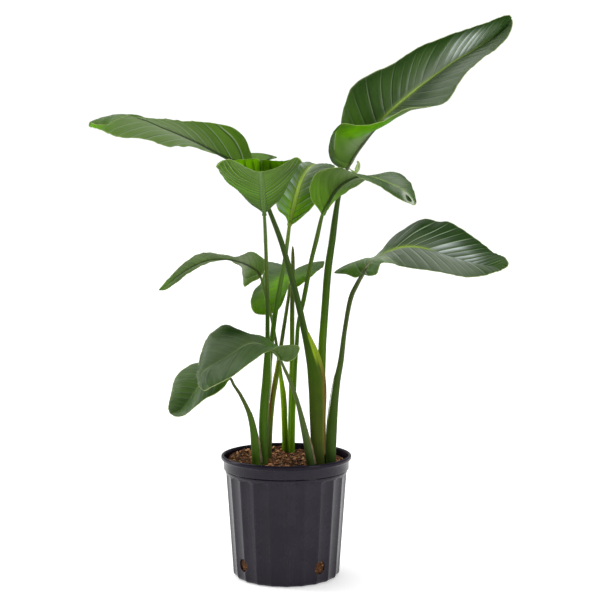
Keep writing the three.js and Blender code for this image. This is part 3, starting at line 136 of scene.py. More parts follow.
  [238.8, -149, 736.9, 234.3, -154.1, 738.4, 228.7, -158, 738.3, 231.3, -163.1, 731.8, 232.8, -166, 723.9],
  [238.5, -163, 728.1, 237.7, -163.6, 727.8, 236.9, -164, 727.4, 236.9, -164.7, 726.3, 236.9, -165, 725.2],
 ],
 "middle_rear": [
  [3.2, 109, 559.2, 4.3, 109.3, 560.8, 5.6, 110, 562.2, 6.9, 109.9, 561.3, 7.9, 110, 560.1],
  [-13.7, 106, 517.6, -6.6, 109.5, 543.8, 6.2, 116, 567, 14.2, 114.1, 564.2, 21.9, 114, 560.1],
  [-38.2, 112, 503.9, -18.7, 117.7, 540.5, 6.9, 126, 572.6, 21.5, 122, 572.9, 36.2, 120, 569.8],
  [-66.2, 124, 506, -31.8, 132.1, 544.9, 7.9, 142, 577.9, 28.9, 137.2, 581.8, 50.6, 134, 580.2],
  [-75.6, 142, 527.4, -35.5, 152.4, 558.1, 8.7, 164, 582, 35.7, 159.4, 590.7, 64.2, 156, 591.9],
  [-68.7, 170, 547.4, -31.1, 180.7, 569.8, 9.8, 192, 584.9, 42, 187.7, 595.8, 75.9, 184, 598.9],
  [-55.3, 208, 567.3, -23.3, 216, 580.5, 10.9, 224, 586, 43.9, 220, 599.8, 79.2, 216, 605.8],
  [-50.1, 250, 590.9, -18.8, 255.2, 592.5, 12, 260, 586.2, 43.1, 257.1, 601.2, 76.9, 254, 608.7],
  [-50.3, 290, 606.1, -17.5, 293.2, 599.6, 12.8, 296, 585.4, 39.6, 294.2, 595.2, 68.7, 292, 597],
  [-36.8, 326, 597.5, -10.5, 328.2, 595.6, 13.8, 330, 584.4, 35.8, 329.1, 588.8, 58.9, 328, 588.6],
  [-15.3, 360, 588.6, 0.2, 361.1, 589.1, 14.7, 362, 583, 29, 361.6, 584.6, 43.7, 361, 584.2],
  [14, 386, 582, 14.9, 386, 581.9, 15.8, 386, 581.5, 16.6, 386, 581.8, 17.6, 386, 581.8],
 ],
 "lower_front": [
  [-8.6, -102, 434.3, -9.1, -101, 435.1, -10, -100, 435.6, -9.8, -99.1, 436.4, -10, -98, 437.1],
  [4.6, -116, 432.8, -2.2, -107.6, 437.6, -11.8, -101, 439.3, -8.7, -93.1, 443.9, -8.9, -84, 447.1],
  [20, -130, 444.1, 5.1, -113.4, 446.1, -13.9, -102, 442.5, -10.5, -89.8, 449.5, -11.9, -76, 453.9],
  [25.5, -142, 463.5, 7, -118.3, 458.1, -16.3, -103, 445.6, -15, -88, 454.8, -19.5, -72, 460.5],
  [8.6, -150, 466.8, -2.8, -123.9, 461.8, -19.5, -104, 448.9, -20.4, -87.6, 459.7, -27.1, -70, 465.7],
  [-9.7, -156, 464.6, -14.1, -129.2, 462.8, -23.9, -106, 452.5, -27.1, -88.8, 466, -36, -70, 473.3],
  [-23.7, -160, 458.8, -24.1, -133.5, 462, -29.9, -108, 456.3, -36.1, -89.9, 471.4, -48, -70, 479],
  [-36, -164, 455, -34.3, -137.4, 462.6, -37.7, -110, 460.6, -47.4, -90.7, 475.4, -62.2, -70, 481.3],
  [-48.7, -168, 447.2, -46.2, -141.7, 461.5, -47.3, -112, 465.1, -60.8, -92.1, 479.4, -77.4, -70, 483.4],
  [-65.1, -170, 435.5, -62.9, -145, 456.7, -60.7, -114, 467.4, -78.1, -95.1, 485.4, -95.4, -70, 493.1],
  [-81.4, -172, 423.6, -80.3, -147.2, 447.8, -76.4, -116, 462.4, -96.8, -98.3, 485, -115.2, -72, 499.6],
  [-97, -172, 413, -96.3, -148.9, 437.6, -92.2, -119, 452.9, -114.4, -102, 475.5, -133.9, -76, 490.6],
  [-110.7, -172, 404.5, -111.5, -150.4, 428.1, -108.8, -122, 442.4, -130.1, -106.5, 462.8, -148.7, -82, 475.6],
  [-122.7, -170, 398.2, -125.5, -150.9, 419.8, -125.4, -125, 432.7, -141.7, -111, 448.3, -155.8, -90, 456.7],
  [-131.9, -168, 393, -137.1, -151.8, 412.9, -140, -129, 425.3, -151.7, -116.5, 433.9, -161.1, -100, 436.6],
  [-138, -166, 389.6, -146.1, -153.1, 406.5, -151.2, -134, 417.7, -158.9, -125.1, 421.6, -164.2, -114, 422],
  [-142.8, -162, 386.8, -151.4, -153.4, 398.2, -156.7, -140, 406.5, -162.1, -134.8, 408, -165.6, -128, 408],
  [-146.9, -157, 384.3, -152.6, -153.4, 389.9, -156.4, -147, 394.6, -159.4, -145, 394.4, -161.4, -142, 393.8],
  [-149.5, -154, 383.9, -150.3, -153.7, 384.2, -151, -153, 384.5, -151.9, -152.7, 384.8, -152.6, -152, 385.1],
 ],
 "middle_left": [
  [-49.8, 29, 586.4, -50.3, 29.7, 585.5, -50.8, 30, 584.4, -51.3, 30.7, 583.4, -51.9, 31, 582.4],
  [-42.6, 16, 594.9, -48, 22.7, 593.9, -54.5, 28, 591.6, -54.4, 32.7, 586.1, -55.2, 36, 579.7],
  [-38.6, 0, 614.1, -49, 14.1, 607.8, -60.7, 25, 598, -64, 39.3, 587, -68.4, 50, 572.9],
  [-51.2, -18, 627.7, -59.7, 2.8, 618.6, -69.1, 20, 604.3, -76.8, 43.9, 586.4, -85.2, 62, 562.8],
  [-67.4, -34, 636.3, -73, -8.1, 626.5, -79.5, 14, 610.2, -83.6, 43.9, 599.3, -88.7, 70, 581.4],
  [-80.3, -46, 630.5, -85.6, -18.9, 626.4, -92, 6, 615.4, -90.7, 39.8, 612.3, -90.8, 72, 601.4],
  [-92.9, -54, 624.9, -99.1, -28, 625.6, -106.1, -3, 619.4, -103, 32, 618.8, -100.8, 66, 610.2],
  [-107.7, -62, 628.7, -114.9, -36.5, 628.6, -122.1, -12, 621.5, -119.7, 22.3, 623, -117.2, 56, 616.6],
  [-125.1, -72, 633, -132.6, -46.4, 630.7, -138.9, -22, 621.5, -138.9, 12.4, 621.8, -137.5, 46, 614.4],
  [-144.2, -82, 637.1, -151.3, -56.1, 630.8, -155.5, -32, 618.2, -157.5, 1.5, 617.5, -156.5, 34, 609.5],
  [-163.3, -90, 634.5, -169.6, -65, 625.9, -172, -42, 611.6, -175.6, -10.5, 609.7, -175.1, 20, 601],
  [-182.6, -96, 623.8, -187.3, -72.6, 615.8, -187.9, -51, 602.8, -192.2, -23, 599.8, -192, 4, 590.7],
  [-199.6, -99, 609.7, -203.1, -78.8, 603.2, -203, -60, 592.6, -207.2, -36.5, 588.4, -207.4, -14, 579.5],
  [-214.7, -98, 593.2, -217.3, -82, 588.9, -217, -67, 581.5, -220.5, -50.1, 577.2, -220.9, -34, 569.6],
  [-227.8, -92, 578.7, -229.3, -82.2, 576.2, -229.1, -73, 571.8, -231, -63.2, 568.7, -231.2, -54, 563.6],
  [-239.4, -80, 565.9, -239.7, -78.9, 565.4, -239.8, -78, 564.7, -239.7, -77.4, 564.3, -239.5, -77, 563.9],
 ],
 "lowest_left": [
  [-105.4, -56, 392.6, -105.9, -55.6, 393.4, -106.5, -55, 394, -106.4, -54.6, 394.9, -106.5, -54, 395.6],
  [-111, -66, 388.7, -112.3, -61.2, 394.1, -114.1, -55, 397.6, -109.2, -46.4, 403.5, -105.1, -36, 406.1],
  [-115.8, -76, 381.2, -120.8, -67.1, 391.8, -125.6, -55, 398.8, -122.1, -41, 410.7, -118.3, -24, 417.3],
  [-125.2, -84, 373.3, -133, -71.2, 387.1, -139.1, -54, 396.2, -141.2, -37.1, 411.9, -141.1, -16, 421.6],
  [-138.4, -88, 365.7, -147.1, -72.8, 380, -152.4, -53, 389.7, -160.6, -35.2, 407.6, -164.8, -12, 420],
  [-151.9, -90, 360.2, -160.3, -72.9, 372.5, -164, -52, 380.3, -177.4, -35.3, 399.8, -185.6, -12, 414.9],
  [-163.5, -90, 350.5, -171.2, -72.1, 361.6, -173.7, -51, 368.5, -191.6, -36.3, 387.8, -204, -14, 403.8],
  [-173.9, -88, 340.5, -180.5, -70.8, 349.8, -182.3, -51, 355.2, -202.1, -38.5, 373, -217.1, -18, 387.9],
  [-185.5, -82, 330.4, -190.1, -67.6, 338.6, -191.2, -51, 343, -208, -41.3, 357.2, -221.6, -25, 368.5],
  [-198, -74, 323.2, -200.5, -63.9, 330, -201.1, -52, 333.5, -213.6, -44.9, 344.1, -224.6, -33, 351.6],
  [-210.7, -65, 321.2, -211.5, -59.6, 325.5, -211.8, -53, 327.8, -219.6, -49.2, 332.9, -227, -43, 335.6],
  [-221.2, -55, 325.1, -221.9, -54.6, 325.8, -222.5, -54, 326.4, -223, -54.1, 327.1, -223.6, -54, 327.6],
 ],
 "middle_right": [
  [147.3, -20, 591.6, 148.3, -20.2, 592.4, 149.3, -20, 593, 150.3, -20.8, 592.1, 151.4, -21, 591.1],
  [134.1, -22, 585.4, 142.8, -22, 592.6, 152.2, -19, 598, 155.5, -26.7, 594.5, 160.6, -32, 589.1],
  [116.3, -8, 591.4, 134.4, -15.9, 597.4, 155.1, -18, 602.8, 162.4, -32.1, 599.3, 173.5, -42, 592.9],
  [93.8, 8, 593.3, 124, -8.9, 602.7, 158.4, -18, 607.6, 165.2, -35.8, 607.7, 177.5, -50, 604.3],
  [111.4, 22, 604.8, 134.3, -0.8, 611.8, 162.4, -18, 612.4, 168.1, -39.3, 615.7, 180, -58, 613.4],
  [145.1, 30, 616.7, 154.2, 4.6, 621, 168.4, -18, 617.7, 174.8, -42.2, 621.3, 187.2, -64, 617.4],
  [175.9, 34, 620.3, 173.5, 8, 625.7, 176.1, -18, 623.1, 183.5, -44.7, 624.3, 196.4, -68, 616.8],
  [194.4, 36, 636.8, 186, 8.1, 637.9, 184.9, -19, 628.9, 193.4, -48, 625.9, 207.5, -72, 613.5],
  [203.1, 36, 656.5, 197.1, 6.6, 649.9, 195.2, -20, 634.7, 205.8, -51.1, 626.5, 221, -76, 609.2],
  [223.1, 36, 674.5, 213.7, 4.9, 661.3, 207.4, -22, 639.6, 220.9, -54.6, 627.1, 238, -80, 605.8],
  [246.5, 34, 691, 232.9, 2.2, 671.2, 221.5, -24, 643.5, 238.2, -57.7, 628.2, 257.5, -84, 603.8],
  [271.6, 30, 699.5, 254, -1.7, 675.9, 237.6, -27, 644.9, 256.9, -61.3, 627.4, 277.8, -88, 600.8],
  [299.7, 26, 693.4, 277, -5.2, 672.4, 254.7, -30, 643.8, 276.6, -64.7, 624.8, 299, -92, 596.3],
  [324.6, 20, 689.9, 299.1, -10.4, 668.6, 273.5, -34, 640.1, 297, -67.7, 620.8, 320.3, -94, 592.1],
  [348.1, 12, 676.7, 320.5, -16.4, 659.4, 292.3, -38, 634.7, 316.9, -70.4, 617.3, 340.7, -96, 590.1],
  [368.6, 4, 661.5, 340.3, -22.2, 648.6, 311, -42, 628.3, 335.8, -72, 615, 359.4, -96, 591.4],
  [385.8, -6, 647.1, 358.1, -29.1, 638, 329.7, -46, 621, 353.2, -72.5, 612.9, 375.6, -94, 594],
  [400.6, -18, 636.2, 374.5, -37.3, 629.4, 348.2, -51, 614.3, 368.7, -73.7, 611.3, 389, -92, 597.2],
  [411.4, -30, 630, 388.6, -45.4, 623.9, 366.6, -56, 609.9, 383, -74.2, 609.8, 400.3, -89, 600.7],
  [418.1, -44, 624.5, 400.3, -54.6, 619.4, 383.9, -62, 608.2, 395.7, -74.8, 609.2, 408.8, -85, 603.9],
  [421, -58, 619.9, 409.5, -63.9, 616.5, 399.1, -68, 609.2, 406.5, -75.4, 609.9, 415, -81, 606.9],
  [421.7, -69, 616.5, 416.5, -71.5, 614.9, 411.7, -73, 611.7, 415.4, -75.6, 611.5, 419.4, -77, 610],
  [421.2, -76, 614.8, 420.9, -76, 614.6, 420.6, -76, 614.3, 420.7, -76.6, 614, 420.9, -77, 613.6],
 ],
}

# Stalks: each row is a point from the blade down to the potting mix, with half its width and
# half its depth.
STALK_LINES = {
 "top_right": [
  [119.8, 50, 798, 3.4, 3.2],
  [111.1, 47, 769.4, 4.2, 4.2],
  [101.9, 42, 737.8, 5, 5],
  [95.2, 34, 696.5, 6.3, 5.8],
  [90, 27, 657.3, 7, 6.2],
  [81.3, 17, 598.8, 7.8, 6.6],
  [75.2, 5, 524.9, 8, 6.8],
  [71.7, -3, 480.5, 8.3, 7],
  [69.8, -8, 449.7, 8.4, 7.2],
  [68.2, -17, 386.2, 8.2, 7.4],
  [67.8, -21, 347.6, 8.4, 7.6],
  [68.9, -27, 289.8, 8.4, 7.8],
  [70.7, -33, 225.8, 8.4, 8],
 ],
 "top_left": [
  [-61.4, -18, 796.5, 3.2, 3.2],
  [-52.6, -25, 769.5, 3.7, 3.7],
  [-30.8, -36, 714, 4.5, 4.5],
  [-9.7, -41, 658.6, 5.4, 5.2],
  [6, -45, 605.2, 5.7, 5.4],
  [21.6, -49, 546.1, 5.8, 5.6],
  [35.6, -53, 485.1, 6.6, 5.8],
  [45, -55.5, 448.9, 9.2, 6],
  [51.9, -57, 420.2, 12, 6.2],
  [56.8, -58, 391.5, 14.6, 6.4],
  [59.2, -58, 352.9, 14.6, 6.6],
  [60, -57, 294.8, 13.4, 6.8],
  [62, -55, 227.5, 12.4, 7],
 ],
 "upper_front": [
  [-40.6, -60, 708.2, 2.9, 2.9],
  [-38.5, -59, 659, 3.5, 3.4],
  [-35.4, -55, 546.5, 3.9, 3.8],
  [-35.2, -52, 469.6, 4.3, 4.2],
  [-36.2, -51, 429.1, 6.2, 5],
  [-37.9, -50, 390.4, 7.6, 6],
  [-41.4, -49, 351.6, 7.9, 6.4],
  [-44.3, -47, 293.1, 7.9, 6.6],
  [-41.7, -45, 226.5, 6.8, 6.6],
 ],
 "upper_rear": [
  [6, 30, 684, 3.4, 3.4],
  [-2.8, 20, 618.2, 4.2, 4.1],
  [-19.9, 4, 525, 4.9, 4.6],
  [-25.6, -5, 480.7, 4.8, 4.6],
  [-29.8, -10, 444, 4.8, 4.6],
  [-34.0, -16, 386, 5.4, 4.8],
  [-37.2, -19, 347.3, 5.6, 5],
  [-39.6, -22, 288.9, 5.8, 5.2],
  [-40.0, -25, 225, 5.8, 5.4],
 ],
 "upper_right": [
  [69.8, -30, 706.3, 3.2, 3.2],
  [58.6, -18, 658.2, 4.3, 4.2],
  [48.3, -7, 615.3, 4.2, 4.1],
  [34.3, 14, 542, 4.6, 4.4],
  [23.6, 28, 493.6, 4.2, 4.2],
  [20.6, 40, 452.7, 4.1, 4.1],
  [17.8, 50, 413.7, 4.3, 4.2],
  [15.8, 56, 376.7, 4.6, 4.4],
  [12.9, 63, 315.1, 5.2, 4.8],
  [11.3, 68, 253.4, 5.6, 5],
  [10.4, 70, 224.5, 5.8, 5],
 ],
 "middle_rear": [
  [5.6, 110, 562.2, 2.7, 2.7],
  [4, 92, 542.9, 3, 3],
  [0.1, 74, 515.9, 3.5, 3.4],
  [-9.8, 42, 452.5, 3.9, 3.8],
  [-14.6, 32, 423.7, 4.1, 4],
  [-21, 22, 381.1, 5, 4.4],
  [-27, 14, 342.5, 5.4, 4.6],
  [-32, 4, 284.5, 5.5, 4.8],
  [-33.8, -5, 223.7, 5.5, 4.8],
 ],
 "lower_front": [
  [-10, -100, 435.6, 2.5, 2.5],
  [-1.2, -98.5, 415.6, 3, 3],
  [7.6, -96, 396.4, 3.6, 3.5],
  [18, -92, 367.4, 3.8, 3.8],
  [27.3, -86, 334.1, 4.6, 4.3],
  [34.8, -80, 298.7, 6, 5],
  [43, -74, 259.2, 7.4, 5.8],
  [48.6, -71, 225.8, 7.8, 6],
 ],
 "middle_left": [
  [-50.8, 30, 584.4, 2.3, 2.3],
  [-47.1, 35, 572.3, 2.5, 2.5],
  [-40.4, 42, 544.1, 2.6, 2.6],
  [-30.7, 50, 505.7, 2.7, 2.7],
  [-20.5, 62, 450.5, 3, 3],
  [-15.2, 68, 411.6, 3.5, 3.4],
  [-10.9, 72, 374.7, 4.2, 4],
  [-6.9, 76, 333.5, 5.2, 4.6],
  [-4.4, 78, 292.5, 5.8, 5],
  [-3, 80, 223.6, 6, 5.2],
 ],
 "lowest_left": [
  [-106.5, -55, 394, 2.5, 2.5],
  [-99.4, -56, 381, 2.7, 2.7],
  [-88.6, -58, 365.3, 3.2, 3.2],
  [-76.3, -60, 342.2, 4.1, 4],
  [-68.9, -61, 324.5, 5.2, 4.8],
  [-62.4, -62, 295.7, 6.4, 5.4],
  [-58.3, -62, 257, 8.2, 6],
  [-55.9, -61, 225.8, 8.6, 6.2],
 ],
 "middle_right": [
  [149.1, -20, 593, 3.4, 3.2],
  [137.4, -22.5, 573.4, 4.3, 3.8],
  [124.2, -26, 543.5, 4.6, 4.2],
  [113.4, -31, 485, 4.4, 4.3],
  [105.9, -35, 427.3, 5.6, 5],
  [98.3, -37, 388.8, 7, 5.6],
  [93.2, -39, 350.2, 8.3, 6],
  [88, -41, 292.1, 10.3, 6.6],
  [86.9, -42, 253.3, 9.7, 7],
  [86.4, -43, 226.2, 9, 7],
 ],
 "spear": [
  [12.4, 80, 643.4, 1.1, 1.1],
  [12.5, 80, 634.2, 2.7, 2.6],
  [12.6, 80.5, 610, 3.9, 3.8],
  [11.7, 81.5, 565.8, 4.4, 4.2],
  [11.3, 83, 519.3, 4.7, 4.4],
  [11.2, 85, 456.3, 4.8, 4.4],
  [10.8, 86, 409.5, 5, 4.6],
  [10, 87, 372.7, 5.4, 4.8],
  [8.7, 88, 311.3, 5.8, 5],
  [7.5, 88, 249.8, 6, 5.2],
  [7.1, 88, 224.4, 6, 5.2],
 ],
}

MM = 0.001


# ---------------------------------------------------------------- small maths
def crom(points, t):
    """Uniform Catmull-Rom through the points, t in point numbers."""
    p = np.asarray(points, float)
    n = len(p)
    e = np.vstack([2 * p[0] - p[1], p, 2 * p[-1] - p[-2]])
    i = np.clip(np.floor(t).astype(int), 0, n - 2)
    f = (np.asarray(t) - i)[:, None]
    x0, x1, x2, x3 = e[i], e[i + 1], e[i + 2], e[i + 3]
    t0, t1 = (x2 - x0) * 0.5, (x3 - x1) * 0.5
    return x1 + t0 * f + (-3 * x1 + 3 * x2 - 2 * t0 - t1) * f**2 + (2 * x1 - 2 * x2 + t0 + t1) * f**3


def unit(v):
    n = np.linalg.norm(v, axis=-1, keepdims=True)
    return v / np.maximum(n, 1e-9)


def sstep(a, b, x):
    t = np.clip((x - a) / (b - a), 0, 1)
    return t * t * (3 - 2 * t)


def noise1(x, seed):
    tab = np.random.default_rng(seed).uniform(-1, 1, 1024)
    x = np.asarray(x, float)
    i = np.floor(x).astype(int)
    f = x - i
    u = f * f * (3 - 2 * f)
    return tab[i % 1024] * (1 - u) + tab[(i + 1) % 1024] * u


def noise2(x, y, seed):
    tab = np.random.default_rng(seed).uniform(-1, 1, (128, 128))
    x, y = np.asarray(x, float), np.asarray(y, float)
    i, j = np.floor(x).astype(int), np.floor(y).astype(int)
    f, g = x - i, y - j
    u, v = f * f * (3 - 2 * f), g * g * (3 - 2 * g)
    a = tab[i % 128, j % 128] * (1 - u) + tab[(i + 1) % 128, j % 128] * u
    b = tab[i % 128, (j + 1) % 128] * (1 - u) + tab[(i + 1) % 128, (j + 1) % 128] * u
    return a * (1 - v) + b * v


def arc_length(p):
    return np.concatenate([[0], np.cumsum(np.linalg.norm(np.diff(p, axis=0), axis=1))])


# ---------------------------------------------------------------- meshes
def make_piece(name, co, faces, material, replaces=(), attrs=None, sharp=None):
    """A named piece from millimetre points and faces. It rides on the root body."""
    me = bpy.data.meshes.new(name)
    me.from_pydata((np.asarray(co) * MM).tolist(), [], [list(map(int, f)) for f in faces])
    for key, values in (attrs or {}).items():
        a = me.attributes.new(key, "FLOAT", "POINT")
        a.data.foreach_set("value", np.asarray(values, np.float32).ravel())
    me.polygons.foreach_set("use_smooth", np.ones(len(me.polygons), bool))
    if sharp is not None:
        me.set_sharp_from_angle(angle=math.radians(sharp))
    me.materials.append(material)
    me.update()
    ob = bpy.data.objects.new(name, me)
    bpy.context.scene.collection.objects.link(ob)
    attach(ob, "root")
    if replaces:
        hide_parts(*replaces)
    return ob


def grid_faces(rows, cols, first=0, closed=False, flip=False):
    """Quads of a rows x cols grid of points. Closed joins the last column to the first."""
    i = np.arange(rows - 1)[:, None]
    j = np.arange(cols if closed else cols - 1)[None, :]
    k = (j + 1) % cols
    q = np.stack([i * cols + j, i * cols + k, (i + 1) * cols + k, (i + 1) * cols + j], -1).reshape(-1, 4) + first
    return q[:, ::-1] if flip else q


# ---------------------------------------------------------------- node helpers
class Tree:
    """Short hand for building a material's nodes."""

    def __init__(self, name):
        self.mat = bpy.data.materials.new(name)
        self.mat.use_nodes = True
        self.nt = self.mat.node_tree
        self.nt.nodes.clear()
        self.out = self.nt.nodes.new("ShaderNodeOutputMaterial")

    def put(self, socket, value):
        if isinstance(value, bpy.types.NodeSocket):
            self.nt.links.new(value, socket)
        else:
            socket.default_value = value

    def node(self, kind, ins=None, **props):
        n = self.nt.nodes.new(kind)
        for k, v in props.items():
            setattr(n, k, v)
        for k, v in (ins or {}).items():
            self.put(n.inputs[k], v)
        return n

    def attr(self, name):
        return self.node("ShaderNodeAttribute", attribute_name=name).outputs["Fac"]

    def math(self, op, a, b=0.0, c=0.0, clamp=False):
        n = self.node("ShaderNodeMath", operation=op, use_clamp=clamp)
        self.put(n.inputs[0], a)
        self.put(n.inputs[1], b)
        if len(n.inputs) > 2:
            self.put(n.inputs[2], c)
        return n.outputs[0]

    def ramp01(self, x, lo, hi, a=0.0, b=1.0, smooth=True):
        """a below lo, b above hi, smooth between."""
        n = self.node("ShaderNodeMapRange", interpolation_type="SMOOTHSTEP" if smooth else "LINEAR")
        for k, v in (("Value", x), ("From Min", lo), ("From Max", hi), ("To Min", a), ("To Max", b)):
            self.put(n.inputs[k], v)
        return n.outputs[0]

    def mix(self, f, a, b):
        n = self.node("ShaderNodeMix", data_type="RGBA", blend_type="MIX")
        self.put(n.inputs[0], f)
        self.put(n.inputs[6], a if isinstance(a, bpy.types.NodeSocket) else (*a, 1))
        self.put(n.inputs[7], b if isinstance(b, bpy.types.NodeSocket) else (*b, 1))
        return n.outputs[2]

    def mix_value(self, f, a, b):
        n = self.node("ShaderNodeMix", data_type="FLOAT")
        for i, v in ((0, f), (2, a), (3, b)):
            self.put(n.inputs[i], v)
        return n.outputs[0]

    def vec(self, x, y, z=0.0):
        n = self.node("ShaderNodeCombineXYZ")
        for i, v in enumerate((x, y, z)):
            self.put(n.inputs[i], v)
        return n.outputs[0]

    def place(self):
        return self.node("ShaderNodeTexCoord").outputs["Object"]

    def noise(self, vector, scale, detail=2.0, rough=0.5):
        n = self.node("ShaderNodeTexNoise", {"Vector": vector, "Scale": scale, "Detail": detail, "Roughness": rough})
        return n.outputs["Fac"]

    def bump(self, height, distance, strength=1.0):
        n = self.node("ShaderNodeBump", {"Height": height, "Distance": distance, "Strength": strength})
        return n.outputs[0]

    def principled(self, **ins):
        return self.node("ShaderNodeBsdfPrincipled", {k.replace("_", " "): v for k, v in ins.items()})

    def done(self, shader):
        self.nt.links.new(shader, self.out.inputs["Surface"])
        return self.mat


# ---------------------------------------------------------------- materials
def leaf_material(name, up, low, glow, see=(0.45, 0.30), gloss=(0.40, 0.50), rib_up=(0.26, 0.42, 0.06), rib_low=(0.10, 0.17, 0.05), pitch=15.0, veins=(0.7, 0.5), coat=0.08, shine=(0.22, 0.10), pale=(0.20, 0.26, 0.15), pale_low=(0.17, 0.26, 0.09), neck=(0.10, 0.19, 0.03), neck_up=None, rib_fade=0.0, rib_block=0.75, tail=1.0, thick_line=1.25, band=3.4, fade=(0.50, 0.97, 0.15), margin=(0.40, 0.47, 0.19)):
    """Waxy leaf: dark glossy upper side, paler underside, raised parallel veins, light through it.
    up and low are dark and light tones, see is the share of light let through at the base of
    the blade and beyond it, veins is the strength of the vein lines above and below."""
    t = Tree(name)
    d, e, ph = t.attr("leaf_d"), t.attr("leaf_e"), t.attr("leaf_ph")
    upper, rib, along, share = t.attr("leaf_up"), t.attr("leaf_rib"), t.attr("leaf_t"), t.attr("leaf_w")
    painted_sheen, deep, lit, gleam, cream_and_glint = (t.attr("leaf_" + k) for k in ("pale", "deep", "lit", "gleam", "cream_and_glint"))
    side = t.math("MULTIPLY", t.math("SIGN", d), 57.0)
    # main veins, each with its own strength, and the fine veins between them
    number = t.math("ROUND", ph)
    near = t.math("ABSOLUTE", t.math("SUBTRACT", ph, number))
    after = t.math("FRACT", ph)
    own = t.node("ShaderNodeTexWhiteNoise", {"W": t.math("ADD", number, side)}, noise_dimensions="1D").outputs["Value"]
    tint = t.node("ShaderNodeTexWhiteNoise", {"W": t.math("ADD", t.math("FLOOR", ph), t.math("ADD", side, 9.5))}, noise_dimensions="1D").outputs["Value"]
    half_line = min(0.20, thick_line / pitch)
    reach = t.math("MULTIPLY", t.ramp01(share, fade[0], fade[1], 1.0, fade[2]), t.ramp01(along, 0.30, 0.75, 1.0, tail))
    power = t.math("MULTIPLY", reach, t.math("ADD", 0.35, t.math("MULTIPLY", own, 0.75)))
    line = t.math("MULTIPLY", t.ramp01(near, 0.0, half_line, 1.0, 0.0), power)
    shade = t.math("MULTIPLY", t.ramp01(after, half_line * 0.6, min(0.95, half_line * band), 1.0, 0.0), power)
    line_low = t.math("MULTIPLY", t.ramp01(near, 0.0, half_line * 1.5, 1.0, 0.0), power)
    # painted highlight: a pale streak after each vein, fading towards the next, on the gleam patches
    painted_gleam = t.math("MULTIPLY", t.math("POWER", t.math("SUBTRACT", 1.0, after), 1.9), t.math("ADD", 0.35, t.math("MULTIPLY", tint, 0.9)))
    painted_gleam = t.math("MULTIPLY", gleam, painted_gleam, clamp=True)
    count = max(2.0, round(pitch / 2.7))
    fine = t.math("MULTIPLY", t.math("ABSOLUTE", t.math("SUBTRACT", t.math("FRACT", t.math("MULTIPLY", ph, count)), 0.5)), 2.0)
    streak = t.noise(t.vec(t.math("MULTIPLY", ph, 0.21 * pitch), t.math("MULTIPLY", d, 0.012), upper), 1.0, 3.0, 0.6)
    cloud = t.noise(t.place(), 16.0, 3.0, 0.55)
    mixed = t.math("ADD", t.math("MULTIPLY", streak, 0.45), t.math("ADD", t.math("MULTIPLY", cloud, 0.40), t.math("MULTIPLY", tint, 0.15)))
    tone = t.ramp01(mixed, 0.34, 0.64)
    top = t.mix(tone, up[0], up[1])
    # painted sheen: the pale patches wash this side and the underside towards a grey green
    top = t.mix(painted_sheen, top, (0.105, 0.140, 0.085))
    # painted shade: the deep patches darken both sides to a dark green and cut the light let through
    top = t.mix(deep, top, (0.012, 0.040, 0.003))
    top = t.mix(lit, top, (0.150, 0.340, 0.010))
    top = t.mix(t.math("MULTIPLY", fine, 0.12), top, up[1])
    top = t.mix(t.math("MULTIPLY", shade, 0.80 * veins[0]), top, tuple(c * 0.35 for c in up[0]))
    top = t.mix(t.math("MULTIPLY", line, veins[0]), top, pale)
    top = t.mix(painted_gleam, top, (0.60, 0.68, 0.66))
    # a cream tone at the neck of the middle right blade, and a painted highlight ring at the tip of the upper right
    # blade
    top = t.mix(cream_and_glint, top, (0.82, 0.86, 0.76))
    under = t.mix(tone, low[0], low[1])
    under = t.mix(painted_sheen, under, (0.145, 0.180, 0.095))
    under = t.mix(deep, under, (0.018, 0.034, 0.007))
    under = t.mix(lit, under, (0.060, 0.190, 0.004))
    under = t.mix(t.math("MULTIPLY", fine, 0.16), under, low[0])
    under = t.mix(t.math("MULTIPLY", shade, veins[1]), under, tuple(c * 0.30 for c in low[0]))
    under = t.mix(t.math("MULTIPLY", line_low, veins[1]), under, pale_low)
    under = t.mix(t.math("MULTIPLY", painted_gleam, 0.8), under, (0.30, 0.36, 0.28))
    under = t.mix(cream_and_glint, under, (0.70, 0.74, 0.62))
    # midrib: a paler zone beside it on the upper side; on the underside a painted shadow line beside the raised rib
    on_rib = t.ramp01(rib, 0.86, 1.06, 1.0, 0.0)
    rib_tone = t.mix(t.ramp01(along, 0.10, 0.26), neck_up or rib_up, rib_up)
    clear = t.math("SUBTRACT", 1.0, t.math("ADD", t.math("MULTIPLY", deep, 0.85), t.math("MULTIPLY", gleam, rib_fade)), clamp=True)
    top = t.mix(t.math("MULTIPLY", t.ramp01(rib, 1.0, 3.4, 0.26, 0.0), clear), top, rib_tone)
    top = t.mix(t.math("MULTIPLY", t.math("MULTIPLY", on_rib, t.ramp01(along, 0.35, 1.0, 1.0, 0.6)), clear), top, rib_tone)
    painted_rib_shadow = t.ramp01(t.math("ABSOLUTE", t.math("SUBTRACT", rib, 1.18)), 0.05, 0.32, 0.6, 0.0)
    under = t.mix(painted_rib_shadow, under, tuple(c * 0.35 for c in low[0]))
    under = t.mix(t.math("MULTIPLY", on_rib, 0.9), under, t.mix(t.ramp01(along, 0.0, 0.14), neck, rib_low))
    colour = t.mix(upper, under, top)
